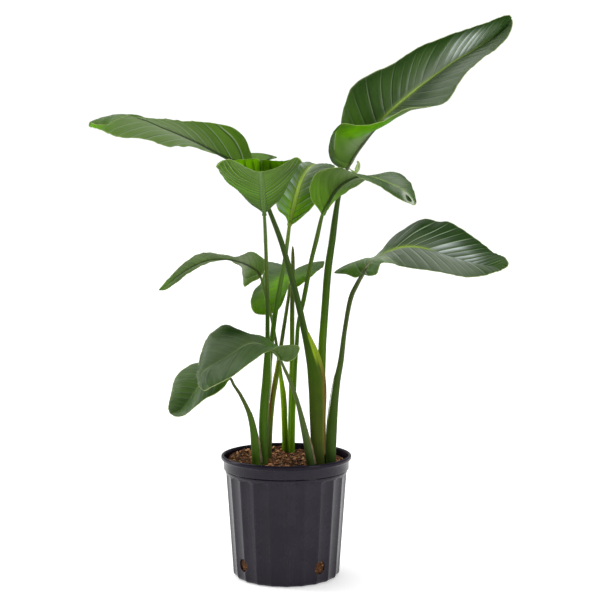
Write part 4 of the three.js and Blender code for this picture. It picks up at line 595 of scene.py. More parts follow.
    # thin pale margin
    edge = t.ramp01(e, 0.7, 2.0, 0.9, 0.0)
    colour = t.mix(edge, colour, margin)
    rough = t.math("ADD", t.mix_value(upper, gloss[1], gloss[0]), t.math("MULTIPLY", t.math("SUBTRACT", streak, 0.5), 0.16))
    height = t.math("ADD", t.math("MULTIPLY", fine, 0.22), t.math("ADD", t.math("MULTIPLY", streak, 0.5), t.math("MULTIPLY", line, 0.75)))
    normal = t.bump(height, 0.0005, 0.5)
    matte = t.math("SUBTRACT", 1.0, t.math("ADD", t.math("MULTIPLY", deep, 0.8), t.math("MULTIPLY", lit, 0.7)), clamp=True)
    spec = t.math("MULTIPLY", t.mix_value(upper, shine[1], shine[0]), matte)
    spec = t.math("ADD", spec, t.math("ADD", t.math("MULTIPLY", painted_sheen, 0.20), t.math("MULTIPLY", gleam, 0.30)))
    skin = t.principled(Base_Color=colour, Roughness=rough, Normal=normal, IOR=1.45, Specular_IOR_Level=spec, Coat_Weight=t.math("MULTIPLY", t.math("MULTIPLY", upper, coat), matte), Coat_Roughness=0.2)
    dim = t.math("SUBTRACT", 1.0, t.math("ADD", t.math("MULTIPLY", shade, t.mix_value(upper, 0.75 * veins[1], 0.75 * veins[0])), t.math("MULTIPLY", fine, 0.10)), clamp=True)
    thin = t.mix(dim, tuple(c * 0.18 for c in glow), glow)
    thin = t.mix(t.math("MULTIPLY", t.math("MAXIMUM", on_rib, painted_rib_shadow), min(1.0, rib_block / 0.75)), thin, tuple(c * 0.35 for c in glow))
    light = t.node("ShaderNodeBsdfTranslucent", {"Color": thin, "Normal": normal})
    through = t.ramp01(along, 0.14, 0.26, see[0], see[1])
    through = t.math("MULTIPLY", through, t.math("SUBTRACT", 1.0, t.math("ADD", t.math("MULTIPLY", on_rib, rib_block), t.math("MULTIPLY", deep, 0.7)), clamp=True))
    through = t.math("ADD", through, t.math("MULTIPLY", lit, 0.25), clamp=True)
    both = t.node("ShaderNodeMixShader", {0: through, 1: skin.outputs[0], 2: light.outputs[0]})
    return t.done(both.outputs[0])


def stalk_material(name, stops, stripes=(), streak=1.5):
    """Smooth fleshy stalk with fine lengthwise lines. Stops are colours from its top to its foot.
    Stripes are (turn, half width, from, to, colour, strength): turn 0.5 = right, 0.75 = front, 1 = left."""
    t = Tree(name)
    turn, down = t.attr("st_a"), t.attr("st_t")
    lines = t.noise(t.vec(t.math("MULTIPLY", turn, 26.0), t.math("MULTIPLY", down, 2.2), 0.0), 1.0, 3.0, 0.6)
    cloud = t.noise(t.place(), 30.0, 3.0, 0.55)
    tone = t.ramp01(t.math("ADD", t.math("MULTIPLY", lines, 0.6), t.math("MULTIPLY", cloud, 0.4)), 0.34, 0.66)
    r = t.node("ShaderNodeValToRGB", {0: down})
    while len(r.color_ramp.elements) < len(stops):
        r.color_ramp.elements.new(0.5)
    for el, (pos, c) in zip(r.color_ramp.elements, stops):
        el.position = pos
        el.color = (*(v * 0.70 for v in c), 1)
    shade = r.outputs[0]
    for at, half, top, low, tint, power in stripes:
        away = t.math("ABSOLUTE", t.math("SUBTRACT", turn, at))
        soft = (low - top) * 0.35
        part = t.math("MULTIPLY", t.ramp01(away, half * 0.35, half, power, 0.0), t.math("MULTIPLY", t.ramp01(down, top, top + soft), t.ramp01(down, low - soft, low, 1.0, 0.0)))
        shade = t.mix(part, shade, tint)
    # painted shade: darker towards the foot, where the stalk goes into the mix
    shade = t.mix(t.ramp01(down, 0.86, 1.0, 0.0, 0.45), shade, (0.012, 0.022, 0.008))
    pale = t.node("ShaderNodeVectorMath", {0: shade, 1: (streak, streak, streak)}, operation="MULTIPLY").outputs[0]
    colour = t.mix(t.math("MULTIPLY", tone, 0.5), shade, pale)
    # faint freckles, as on an old sheath
    spots = t.noise(t.place(), 420.0, 2.0, 0.5)
    colour = t.mix(t.ramp01(spots, 0.66, 0.78, 0.0, 0.20), colour, (0.07, 0.045, 0.012))
    rough = t.math("ADD", 0.36, t.math("MULTIPLY", lines, 0.14))
    normal = t.bump(lines, 0.0005, 0.5)
    return t.done(t.principled(Base_Color=colour, Roughness=rough, Normal=normal, IOR=1.45, Specular_IOR_Level=0.07).outputs[0])


def husk_material(name, top, foot, turn_at=(0.1, 0.5)):
    """Thin papery edge of a sheath, fresh at the top and dry below."""
    t = Tree(name)
    turn, down = t.attr("st_a"), t.attr("st_t")
    lines = t.noise(t.vec(t.math("MULTIPLY", turn, 7.0), t.math("MULTIPLY", down, 5.0), 0.0), 1.0, 4.0, 0.65)
    dry = t.mix(t.ramp01(lines, 0.3, 0.7), tuple(c * 0.55 for c in foot), tuple(min(1.0, c * 1.4) for c in foot))
    colour = t.mix(t.ramp01(down, turn_at[0], turn_at[1]), top, dry)
    normal = t.bump(lines, 0.0006, 0.6)
    return t.done(t.principled(Base_Color=colour, Roughness=0.62, Normal=normal, Specular_IOR_Level=0.10).outputs[0])


def pot_material():
    """Semi-matte black moulded plastic, faintly violet grey, with a fine mould grain."""
    t = Tree("black_pot_plastic")
    p = t.place()
    grain = t.noise(p, 900.0, 2.0, 0.5)
    haze = t.noise(p, 22.0, 4.0, 0.6)
    drag = t.noise(t.node("ShaderNodeMapping", {"Vector": p, "Scale": (60.0, 60.0, 4.0)}).outputs[0], 1.0, 3.0, 0.6)
    colour = t.mix(t.ramp01(haze, 0.35, 0.7), (0.0088, 0.0062, 0.0130), (0.0132, 0.0098, 0.0190))
    dust = t.math("MULTIPLY", t.ramp01(drag, 0.55, 0.8), 0.10)
    colour = t.mix(dust, colour, (0.06, 0.056, 0.058))
    rough = t.math("ADD", 0.22, t.math("ADD", t.math("MULTIPLY", haze, 0.05), t.math("MULTIPLY", drag, 0.05)))
    height = t.math("ADD", t.math("MULTIPLY", grain, 0.2), t.math("MULTIPLY", drag, 0.4))
    normal = t.bump(height, 0.00015, 0.3)
    high = t.node("ShaderNodeSeparateXYZ", {"Vector": p}).outputs["Z"]
    return t.done(t.principled(Base_Color=colour, Roughness=rough, Normal=normal, IOR=1.48, Specular_IOR_Level=t.ramp01(high, 0.2285, 0.2305, 0.22, 0.10)).outputs[0])


def bark_material():
    """Bark chips: each chip has its own tone from dark brown to golden tan."""
    t = Tree("bark_chips")
    tone = t.attr("chip_tone")
    p = t.place()
    fibre = t.noise(p, 700.0, 4.0, 0.65)
    r = t.node("ShaderNodeValToRGB")
    r.color_ramp.interpolation = "LINEAR"
    stops = [(0.0, (0.010, 0.004, 0.001)), (0.28, (0.048, 0.016, 0.006)), (0.52, (0.145, 0.049, 0.015)), (0.76, (0.36, 0.150, 0.056)), (1.0, (0.78, 0.46, 0.23))]
    while len(r.color_ramp.elements) < len(stops):
        r.color_ramp.elements.new(0.5)
    for el, (pos, c) in zip(r.color_ramp.elements, stops):
        el.position = pos
        el.color = (*c, 1)
    t.put(r.inputs[0], t.math("ADD", tone, t.math("MULTIPLY", t.math("SUBTRACT", fibre, 0.5), 0.45)))
    normal = t.bump(fibre, 0.0008, 0.8)
    return t.done(t.principled(Base_Color=r.outputs[0], Roughness=0.82, Normal=normal, Specular_IOR_Level=0.2).outputs[0])


def soil_material():
    """Fine dark peat and bark crumbs between the chips."""
    t = Tree("potting_mix_bed")
    p = t.place()
    crumbs = t.noise(p, 330.0, 5.0, 0.7)
    patch = t.noise(p, 60.0, 3.0, 0.6)
    colour = t.mix(t.ramp01(crumbs, 0.35, 0.68), (0.012, 0.005, 0.002), (0.15, 0.062, 0.022))
    colour = t.mix(t.math("MULTIPLY", patch, 0.30), colour, (0.09, 0.036, 0.012))
    normal = t.bump(crumbs, 0.0016, 0.9)
    return t.done(t.principled(Base_Color=colour, Roughness=0.9, Normal=normal, Specular_IOR_Level=0.15).outputs[0])


# ---------------------------------------------------------------- leaf blades
def blade(place, rows, look):
    """A closed thin shell along the rails: pleats between the side veins, a midrib that stands
    out below and is a channel above, a wavy thin margin."""
    r = np.array(rows, float).reshape(len(rows), 5, 3)
    n = len(r)
    seed = look["seed"]
    tt = np.linspace(0, n - 1, 3000)
    s_at = arc_length(crom(r[:, 2], tt))
    length = s_at[-1]
    nu = look.get("nu", int(np.clip(length / 1.75, 120, 250)))
    x = np.linspace(0, 1, nu + 1)
    s = length * (x - 0.5 * np.sin(2 * np.pi * x) / (2 * np.pi))
    t = np.interp(s, s_at, tt)
    rail = [crom(r[:, k], t) for k in range(5)]
    mid = rail[2]
    frac = s / length
    rib_start = look["rib_start"]
    rib_full = rib_start + (look["rib"] - rib_start) * sstep(0.0, 0.12, frac)
    rib_w = rib_full * (1 - frac) ** look["taper"] * np.minimum(1, (1 - frac) / 0.02) ** 0.5 + 0.45
    rib_h = min(look["rib"], 3.6) * 0.95 * (1 - frac) ** 0.85 + 0.12 + rib_start * 0.55 * (1 - sstep(0.0, 0.10, frac))
    cols = look.get("nv", 24)
    in_rib = np.array([0.0, 0.32, 0.6, 0.82, 0.97])
    sides = []
    for q, e in ((rail[1], rail[0]), (rail[3], rail[4])):
        w = np.linspace(0, 1, 41)[None, :, None]
        curve = (1 - w) * (1 - 2 * w) * mid[:, None] + 4 * w * (1 - w) * q[:, None] + w * (2 * w - 1) * e[:, None]
        dist = np.concatenate([np.zeros((nu + 1, 1)), np.cumsum(np.linalg.norm(np.diff(curve, axis=1), axis=2), 1)], 1)
        half = np.maximum(dist[:, -1], 0.6)
        inner = np.minimum(rib_w * 1.12, half * 0.5)
        m = cols - len(in_rib)
        g = np.linspace(0, 1, m)
        g = g * (0.86 + 0.14 * g)
        want = np.concatenate([inner[:, None] * in_rib[None], inner[:, None] + (half - inner)[:, None] * g[None]], 1)
        ww = np.array([np.interp(want[i], dist[i], w[0, :, 0]) for i in range(nu + 1)])[:, :, None]
        pts = (1 - ww) * (1 - 2 * ww) * mid[:, None] + 4 * ww * (1 - ww) * q[:, None] + ww * (2 * ww - 1) * e[:, None]
        sides.append((pts, want, half))
    nvh = sides[0][1].shape[1]
    pts = np.concatenate([sides[0][0][:, ::-1], sides[1][0][:, 1:]], 1)
    dist = np.concatenate([-sides[0][1][:, ::-1], sides[1][1][:, 1:]], 1)
    half = np.concatenate([np.repeat(sides[0][2][:, None], nvh, 1), np.repeat(sides[1][2][:, None], nvh - 1, 1)], 1)
    nv = pts.shape[1]
    du = np.gradient(pts, axis=0)
    dv = np.gradient(pts, axis=1)
    normal = unit(np.cross(dv, du))
    ad = np.abs(dist)
    share = np.clip(ad / half, 0, 1)
    ss = np.repeat(s[:, None], nv, 1)
    is_left = dist < 0
    pitch = look.get("pitch", 15.0)
    # veins leave the midrib at an angle: two numbers a side, at the base and at the tip
    lean_in, lean_out = np.where(is_left, look["lean"][0], look["lean"][2]), np.where(is_left, look["lean"][1], look["lean"][3])
    lean = lean_in + (lean_out - lean_in) * ss / length
    run = ss - lean * ad * (look["bend"][0] + look["bend"][1] * share)
    base = run / pitch + 20.0
    phase = np.where(is_left, base + 0.30 * noise1(run / (pitch * 2.1), seed), base + 0.41 + 0.30 * noise1(run / (pitch * 2.3), seed + 1))
    strength = 0.45 + 1.1 * np.random.default_rng(seed + 2).uniform(0, 1, 400)
    panel = strength[(np.floor(phase).astype(int) + np.where(is_left, 0, 120)) % 400]
    f = phase - np.floor(phase)
    rise = np.where(f < 0.80, (f / 0.80) ** 1.25, (1 - f) / 0.20) * panel
    fade = sstep(0.0, 0.10, ss / length) * (1 - sstep(0.90, 1.0, ss / length))
    cover = sstep(0.0, 0.24, (ad - rib_w[:, None]) / half) * (1 - 0.35 * share**2)
    out = look.get("pleat", 1.5) * (rise - 0.5) * cover * fade
    wave = look.get("wave", 1.6) * share**3 * fade
    out += wave * np.where(is_left, noise1(ss / 23.0, seed + 3), noise1(ss / 25.0, seed + 4))
    out += wave * 0.5 * np.where(is_left, noise1(ss / 9.0, seed + 5), noise1(ss / 8.0, seed + 6))
    out += 0.35 * noise2(ss / 11.0, dist / 14.0 + 50, seed + 7) * cover * fade
    thick = 0.42 + 0.35 * (1 - share**2)
    thick *= sstep(-0.6, 2.2, half - ad) * 0.5 + 0.5
    ribbed = np.sqrt(np.clip(1 - (ad / rib_w[:, None]) ** 2, 0, 1)) * np.minimum(1, half / rib_w[:, None] * 0.8)
    channel = look.get("channel", 0.30) * rib_h[:, None] * np.clip(1 - (ad / (rib_w[:, None] * 0.92)) ** 2, 0, 1)
    core = pts + normal * out[:, :, None]
    upper = core + normal * (thick / 2 - channel)[:, :, None]
    lower = core - normal * (thick / 2 + rib_h[:, None] * ribbed)[:, :, None]
    co = np.concatenate([upper.reshape(-1, 3), lower.reshape(-1, 3)])
    k = (nu + 1) * nv
    faces = [grid_faces(nu + 1, nv), grid_faces(nu + 1, nv, k, flip=True)]
    i = np.arange(nu)
    a, b = i * nv, (i + 1) * nv
    faces.append(np.stack([a, b, b + k, a + k], -1))
    a, b = i * nv + nv - 1, (i + 1) * nv + nv - 1
    faces.append(np.stack([a + k, b + k, b, a], -1))
    j = np.arange(nv - 1)
    faces.append(np.stack([j, j + k, j + 1 + k, j + 1], -1))
    z = nu * nv
    faces.append(np.stack([z + j + 1, z + j + 1 + k, z + j + k, z + j], -1))
    both = lambda v: np.concatenate([v.ravel(), v.ravel()])
    across = np.where(is_left, -share, share)
    tint = {k_: np.zeros_like(ad) for k_ in ("pale", "deep", "lit", "gleam", "cream_and_glint")}
    for kind, t0, w0, rt, rw, amount in look["patches"]:
        tint[kind] += amount * np.exp(-(((ss / length - t0) / rt) ** 2) - ((across - w0) / rw) ** 2)
    attrs = {
        "leaf_d": both(dist),
        "leaf_e": both(half - ad),
        "leaf_ph": both(phase),
        "leaf_t": both(ss / length),
        "leaf_rib": both(ad / rib_w[:, None]),
        "leaf_w": both(share),
        "leaf_pale": both(np.clip(tint["pale"], 0, 1)),
        "leaf_deep": both(np.clip(tint["deep"], 0, 1)),
        "leaf_lit": both(np.clip(tint["lit"], 0, 1)),
        "leaf_gleam": both(np.clip(tint["gleam"], 0, 1)),
        "leaf_cream_and_glint": both(np.clip(tint["cream_and_glint"], 0, 1)),
        "leaf_up": np.concatenate([np.ones(k), np.zeros(k)]),
    }
    return make_piece("leaf_" + place, co, np.concatenate(faces), look["material"], ["blade_" + place], attrs)


# ---------------------------------------------------------------- stalks
def stalk_line(rows, rails, drop=20.0):
    """Centre line and half sizes from the blade to below the mix, with the start carried a
    little way along the midrib, where it runs out into it."""
    p = np.array(rows, float)
    c, size = p[:, :3], p[:, 3:5]
    if rails is not None:
        mid = np.array(rails, float).reshape(len(rails), 5, 3)[:, 2]
        tt = np.linspace(0, len(mid) - 1, 800)
        line = crom(mid, tt)
        at = arc_length(line)
        down = upper_normal(rails)
        start = np.array([[np.interp(v, at, line[:, k]) for k in range(3)] for v in (30.0, 14.0)])
        c = np.vstack([start - down * [[2.4], [2.0]], c])
        size = np.vstack([size[0] * 0.30, size[0] * 0.66, size])
    foot, before = c[-1], c[-2]
    lean = unit(foot - before)
    lean[2] = min(lean[2], -0.5)
    lean = lean * (drop / abs(lean[2]))
    c = np.vstack([c, foot + [lean[0] * 0.3, lean[1] * 0.3, -drop]])
    size = np.vstack([size, size[-1]])
    return c, size


def tube(place, rows, rails, look, sides=36):
    c, size = stalk_line(rows, rails)
    n = len(c)
    tt = np.linspace(0, n - 1, 1500)
    s_at = arc_length(crom(c, tt))
    total = s_at[-1]
    steps = int(total / 3.2)
    s = np.linspace(0, total, steps + 1)
    t = np.interp(s, s_at, tt)
    at = crom(c, t)
    wide = crom(size, t)
    along = unit(np.gradient(at, axis=0))
    e1 = unit(np.cross(np.array([[0.0, 1.0, 0.0]]), along))
    e2 = unit(np.cross(along, e1))
    ang = np.linspace(0, 2 * np.pi, sides, endpoint=False)
    # the side that faces the upper side of the leaf at the top and the middle of the plant lower down
    face_top = look["faces"]
    toward = -at * [1, 1, 0] + [10.0, 10.0, 0]
    f = (s / total)[:, None]
    want = unit(np.array([face_top]) * (1 - f) + unit(toward) * f)
    w1, w2 = (want * e1).sum(1), (want * e2).sum(1)
    channel_at = np.arctan2(w2, w1)
    gap = np.angle(np.exp(1j * (ang[None] - channel_at[:, None])))
    deep = look.get("channel", 0.26) * (1 - 0.55 * f)
    dent = deep * np.exp(-((gap / 0.52) ** 2)) - deep * 0.22 * np.exp(-(((np.abs(gap) - 0.95) / 0.3) ** 2))
    ridge = 0.012 * np.cos(ang * 9 + 1.7)[None] + 0.008 * np.cos(ang * 15 + f * 3)
    swell = 0.02 * noise1(s / 37.0, look["seed"])[:, None]
    rr = 1 - dent + ridge + swell
    x = np.cos(ang)[None] * wide[:, :1] * rr
    y = np.sin(ang)[None] * wide[:, 1:2] * rr
    ring = at[:, None] + e1[:, None] * x[:, :, None] + e2[:, None] * y[:, :, None]
    co = ring.reshape(-1, 3)
    rows_n = steps + 1
    faces = [f_ for f_ in grid_faces(rows_n, sides, closed=True)]
    top_c, foot_c = len(co), len(co) + 1
    co = np.vstack([co, at[0] - along[0] * 0.6, at[-1]])
    last = (rows_n - 1) * sides
    for j in range(sides):
        k = (j + 1) % sides
        faces.append([k, j, top_c])
        faces.append([last + j, last + k, foot_c])
    st_a = np.concatenate([np.tile(ang / (2 * np.pi), rows_n), [0, 0]])
    st_t = np.concatenate([np.repeat(s / total, sides), [0, 1]])
    # keep the faces turned outwards
    p0, p1, p2 = co[faces[0][0]], co[faces[0][1]], co[faces[0][2]]
    if np.dot(np.cross(p1 - p0, p2 - p0), p0 - at[0]) < 0:
        faces = [list(q)[::-1] for q in faces]
    name = "spear_leaf" if place == "spear" else "petiole_" + place
    node = "furled_spear" if place == "spear" else "stalk_" + place
    return make_piece(name, co, faces, look["material"], [node], {"st_a": st_a, "st_t": st_t})


# ---------------------------------------------------------------- furled spear
def spear(rows, look, sides=48):
    """A young leaf rolled round itself: the section is a spiral with one free edge that
    winds slowly up the spear, drawn out to a fine tip."""
    c, size = stalk_line(rows, None)
    n = len(c)
    tt = np.linspace(0, n - 1, 1500)
    s_at = arc_length(crom(c, tt))
    total = s_at[-1]
    steps = int(total / 2.6)
    s = np.linspace(0, total, steps + 1)
    t = np.interp(s, s_at, tt)
    at, wide = crom(c, t), crom(size, t)
    along = unit(np.gradient(at, axis=0))
    e1 = unit(np.cross(np.array([[0.0, 1.0, 0.0]]), along))
    e2 = unit(np.cross(along, e1))
    k = np.arange(sides)
    turn = k / (sides - 1)
    seam = 2 * np.pi * (0.62 + 0.55 * s / 220.0)[:, None]
    ang = seam + 2 * np.pi * turn[None]
    rolled = 1.0 - sstep(0.0, 0.75, s / total)[:, None] * 0.75
    rr = 0.93 + 0.17 * turn[None] * rolled + 0.012 * np.cos(ang * 7)
    ring = at[:, None] + (e1[:, None] * (np.cos(ang) * wide[:, :1] * rr)[:, :, None]) + (e2[:, None] * (np.sin(ang) * wide[:, 1:2] * rr)[:, :, None])
    co = ring.reshape(-1, 3)
    faces = [list(f) for f in grid_faces(steps + 1, sides, closed=True)]
    a, b = len(co), len(co) + 1
    co = np.vstack([co, at[0] - along[0] * 1.0, at[-1]])
    last = steps * sides
    for j in range(sides):
        m = (j + 1) % sides
        faces.append([m, j, a])
        faces.append([last + j, last + m, b])
    p0, p1, p2 = co[faces[5][0]], co[faces[5][1]], co[faces[5][2]]
    if np.dot(np.cross(p1 - p0, p2 - p0), p0 - at[0]) < 0:
        faces = [f[::-1] for f in faces]
    st_a = np.concatenate([np.tile(turn, steps + 1), [0, 0]])
    st_t = np.concatenate([np.repeat(s / total, sides), [0, 1]])
    return make_piece("spear_leaf", co, faces, look["material"], ["furled_spear"], {"st_a": st_a, "st_t": st_t}, sharp=50)


# ---------------------------------------------------------------- dry sheath edges
def ribbon(name, points, widths, across, material, thick=0.5, seed=1, ripple=0.8, bow=0.45, slot="leaf_stalk"):
    """A thin closed strip along points, its width laid along across."""
    c = np.array(points, float)
    n = len(c)
    t = np.linspace(0, n - 1, (n - 1) * 9 + 1)
    at = crom(c, t)
    w = crom(np.array(widths, float)[:, None], t)[:, 0]
    ac = unit(crom(np.array(across, float), t))
    along = unit(np.gradient(at, axis=0))
    ac = unit(ac - along * (ac * along).sum(1, keepdims=True))
    face = unit(np.cross(ac, along))
    cols = 7
    u = np.linspace(0, 1, cols)
    curl = (noise1(np.arange(len(t)) / 6.0, seed)[:, None] * ripple) * u[None] ** 2 + bow * np.sin(u[None] * np.pi)
    mid = at[:, None] + ac[:, None] * (w[:, None] * u[None])[:, :, None] + face[:, None] * curl[:, :, None]
    th = thick * (1 - 0.6 * u)[None, :, None] / 2
    co = np.concatenate([(mid + face[:, None] * th).reshape(-1, 3), (mid - face[:, None] * th).reshape(-1, 3)])
    m = len(t)
    k = m * cols
    i = np.arange(m - 1)
    j = np.arange(cols - 1)
    faces = [grid_faces(m, cols, 0, flip=False), grid_faces(m, cols, k, flip=True)]
    a, b = i * cols, (i + 1) * cols
    faces.append(np.stack([a, b, b + k, a + k], -1))
    a, b = i * cols + cols - 1, (i + 1) * cols + cols - 1
    faces.append(np.stack([a + k, b + k, b, a], -1))
    faces.append(np.stack([j, j + k, j + 1 + k, j + 1], -1))
    z = (m - 1) * cols
    faces.append(np.stack([z + j + 1, z + j + 1 + k, z + j + k, z + j], -1))
    f = np.concatenate(faces)
    p0, p1, p2 = co[f[0][0]], co[f[0][1]], co[f[0][2]]
    if np.dot(np.cross(p1 - p0, p2 - p0), face[0]) < 0:
        f = f[:, ::-1]
    uu = np.tile(u, m)
    tt = np.repeat(np.linspace(0, 1, m), cols)
    return make_piece(name, co, f, material, (), {"st_a": np.concatenate([uu, uu]), "st_t": np.concatenate([tt, tt])})


def sheath_edge(name, place, heights, turn, widths, material, lean=20.0, lift=0.0, **more):
    """The thin free edge of a sheath, along a stalk between two heights. Turn is where it leaves
    the stalk (0 = right, -90 = front) and lean is how far it points away from that side."""
    c, size = stalk_line(STALK_LINES[place], None)
    tt = np.linspace(0, len(c) - 1, 1200)
    at, wide = crom(c, tt), crom(size, tt)
    order = np.argsort(at[:, 2])
    turns = np.radians(np.interp(np.linspace(0, 1, 7), np.linspace(0, 1, len(turn)), turn))
    rows = []
    for z, a in zip(np.linspace(heights[0], heights[1], 7), turns):
        x, y, hx, hy = (np.interp(z, at[order, 2], v[order]) for v in (at[:, 0], at[:, 1], wide[:, 0], wide[:, 1]))
        rows.append((x + (hx * 0.97 + lift) * math.cos(a), y + (hy * 0.97 + lift) * math.sin(a), z))
    out = [(math.cos(a + math.radians(lean)), math.sin(a + math.radians(lean)), 0.0) for a in turns]
    wide_at = np.interp(np.linspace(0, 1, 7), np.linspace(0, 1, len(widths)), widths)
    return ribbon(name, rows, list(wide_at), out, material, **more)


# ---------------------------------------------------------------- grower pot
POT_HEIGHT, LIP_RADIUS, LIP_HEIGHT = 238.0, 128.0, 8.5
BAND_RADIUS, BAND_DROP = 123.2, 28.0
WALL_TOP_RADIUS, WALL_FOOT_RADIUS, FOOT_RADIUS, CORNER_HEIGHT = 119.2, 105.0, 97.0, 9.0
WALL, FLOOR, FLUTES, FLUTE_DEPTH, FLUTE_PHASE = 1.6, 3.0, 22, 2.6, -88.5
HOLE_DIAMETER, HOLE_HEIGHT, HOLE_ANGLES = 25.0, 33.0, (-141.5, -51.5, 38.5, 128.5)
MIX_TOP, MIX_CROWN = 224.5, 3.5
BAND_FOOT, LIP_FOOT = POT_HEIGHT - BAND_DROP, POT_HEIGHT - LIP_HEIGHT
PER_FLUTE = 14
TURNS = FLUTES * PER_FLUTE


def wall_radius(z):
    return WALL_FOOT_RADIUS + (WALL_TOP_RADIUS - WALL_FOOT_RADIUS) * (z - CORNER_HEIGHT) / (BAND_FOOT - CORNER_HEIGHT)


def flute_cut(turn_deg, z):
    """How far a flute is sunk at this angle and height. Each flute ends in a small arch
    under the band."""
    f = ((np.asarray(turn_deg) - FLUTE_PHASE) / 360.0 * FLUTES) % 1.0
    x = 2 * f - 1
    hollow = 1 - np.sqrt(x**4 + 0.0012)
    arch = BAND_FOOT - 6.6 - 4.0 * np.abs(x) ** 2.2
    top = 1 - sstep(arch - 2.6, arch, z)
    low = sstep(-9.0, 3.0, z)
    return FLUTE_DEPTH * np.clip(hollow, 0, 1) * top * low


def inner_radius(z):
    return wall_radius(z) - FLUTE_DEPTH - WALL


def arc_points(cr, cz, rad_, a0, a1, n):
    a = np.radians(np.linspace(a0, a1, n))
    return [(cr + rad_ * math.cos(v), cz + rad_ * math.sin(v)) for v in a]


def pot_profile():
    """(radius, height, kind) from the middle of the underside round to the middle of the
    floor. Kind 1 is the fluted outer wall and 2 the plain inner wall."""
    out = [(0.0, 0.0, 0), (30.0, 0.0, 0), (60.0, 0.0, 0), (82.0, 0.0, 0), (92.0, 0.0, 0), (FOOT_RADIUS - 2, 0.0, 0)]
    for a in np.linspace(0, 1, 9):
        z = CORNER_HEIGHT * a
        k = 1 - (1 - a) ** 2
        out.append((FOOT_RADIUS + (WALL_FOOT_RADIUS - FOOT_RADIUS) * math.sqrt(max(0.0, k)), z, 1))
    zs = list(np.linspace(CORNER_HEIGHT, 17, 5)[1:]) + list(np.linspace(17, 49, 17)[1:]) + list(np.linspace(49, BAND_FOOT - 12, 34)[1:]) + list(np.linspace(BAND_FOOT - 12, BAND_FOOT - 2.2, 15)[1:])
    out += [(wall_radius(z) + 1.0 * float(sstep(BAND_FOOT - 6.8, BAND_FOOT - 5.2, z)), z, 1) for z in zs]
    # a narrow shoulder over the flutes, a groove, the plain band, a fillet under the lip
    out += [(WALL_TOP_RADIUS + 0.8, BAND_FOOT - 1.9, 0), (WALL_TOP_RADIUS + 0.2, BAND_FOOT - 1.5, 0), (WALL_TOP_RADIUS - 0.8, BAND_FOOT - 1.2, 0), (WALL_TOP_RADIUS - 1.0, BAND_FOOT - 0.4, 0), (WALL_TOP_RADIUS - 1.0, BAND_FOOT + 0.5, 0)]
    out += [(r, z, 0) for r, z in arc_points(BAND_RADIUS - 1.4, BAND_FOOT + 1.9, 1.3, -80, 0, 5)]
    out += [(BAND_RADIUS - 0.1, BAND_FOOT + 7.0, 0), (BAND_RADIUS, LIP_FOOT - 2.6, 0)]
    out += [(BAND_RADIUS + 0.5, LIP_FOOT - 1.0, 0), (BAND_RADIUS + 1.6, LIP_FOOT - 0.15, 0), (LIP_RADIUS - 3.2, LIP_FOOT + 0.1, 0)]
    out += [(r, z, 0) for r, z in arc_points(LIP_RADIUS - 2.4, LIP_FOOT + 2.6, 2.4, -75, 0, 6)]
    out += [(LIP_RADIUS - 0.05, POT_HEIGHT - 3.6, 0)]
    out += [(r, z, 0) for r, z in arc_points(LIP_RADIUS - 3.1, POT_HEIGHT - 3.0, 3.0, 0, 160, 12)]
    out += [(LIP_RADIUS - 6.4, POT_HEIGHT - 3.2, 0), (LIP_RADIUS - 6.8, POT_HEIGHT - 6.0, 0), (BAND_RADIUS - WALL, LIP_FOOT - 2.5, 0), (BAND_RADIUS - WALL - 0.4, BAND_FOOT + 5, 0), (BAND_RADIUS - WALL - 1.6, BAND_FOOT + 2, 0)]
    out += [(inner_radius(BAND_FOOT - 4), BAND_FOOT - 4, 2)]
    out += [(inner_radius(z), z, 2) for z in list(np.linspace(BAND_FOOT - 14, 49, 14)) + list(np.linspace(49, 17, 17)[1:]) + [12.0]]
    out += [(inner_radius(9.0) - 0.8, 7.0, 0), (inner_radius(9.0) - 3.5, 4.2, 0), (inner_radius(9.0) - 7, FLOOR, 0), (60.0, FLOOR, 0), (30.0, FLOOR, 0), (0.0, FLOOR, 0)]
    return out


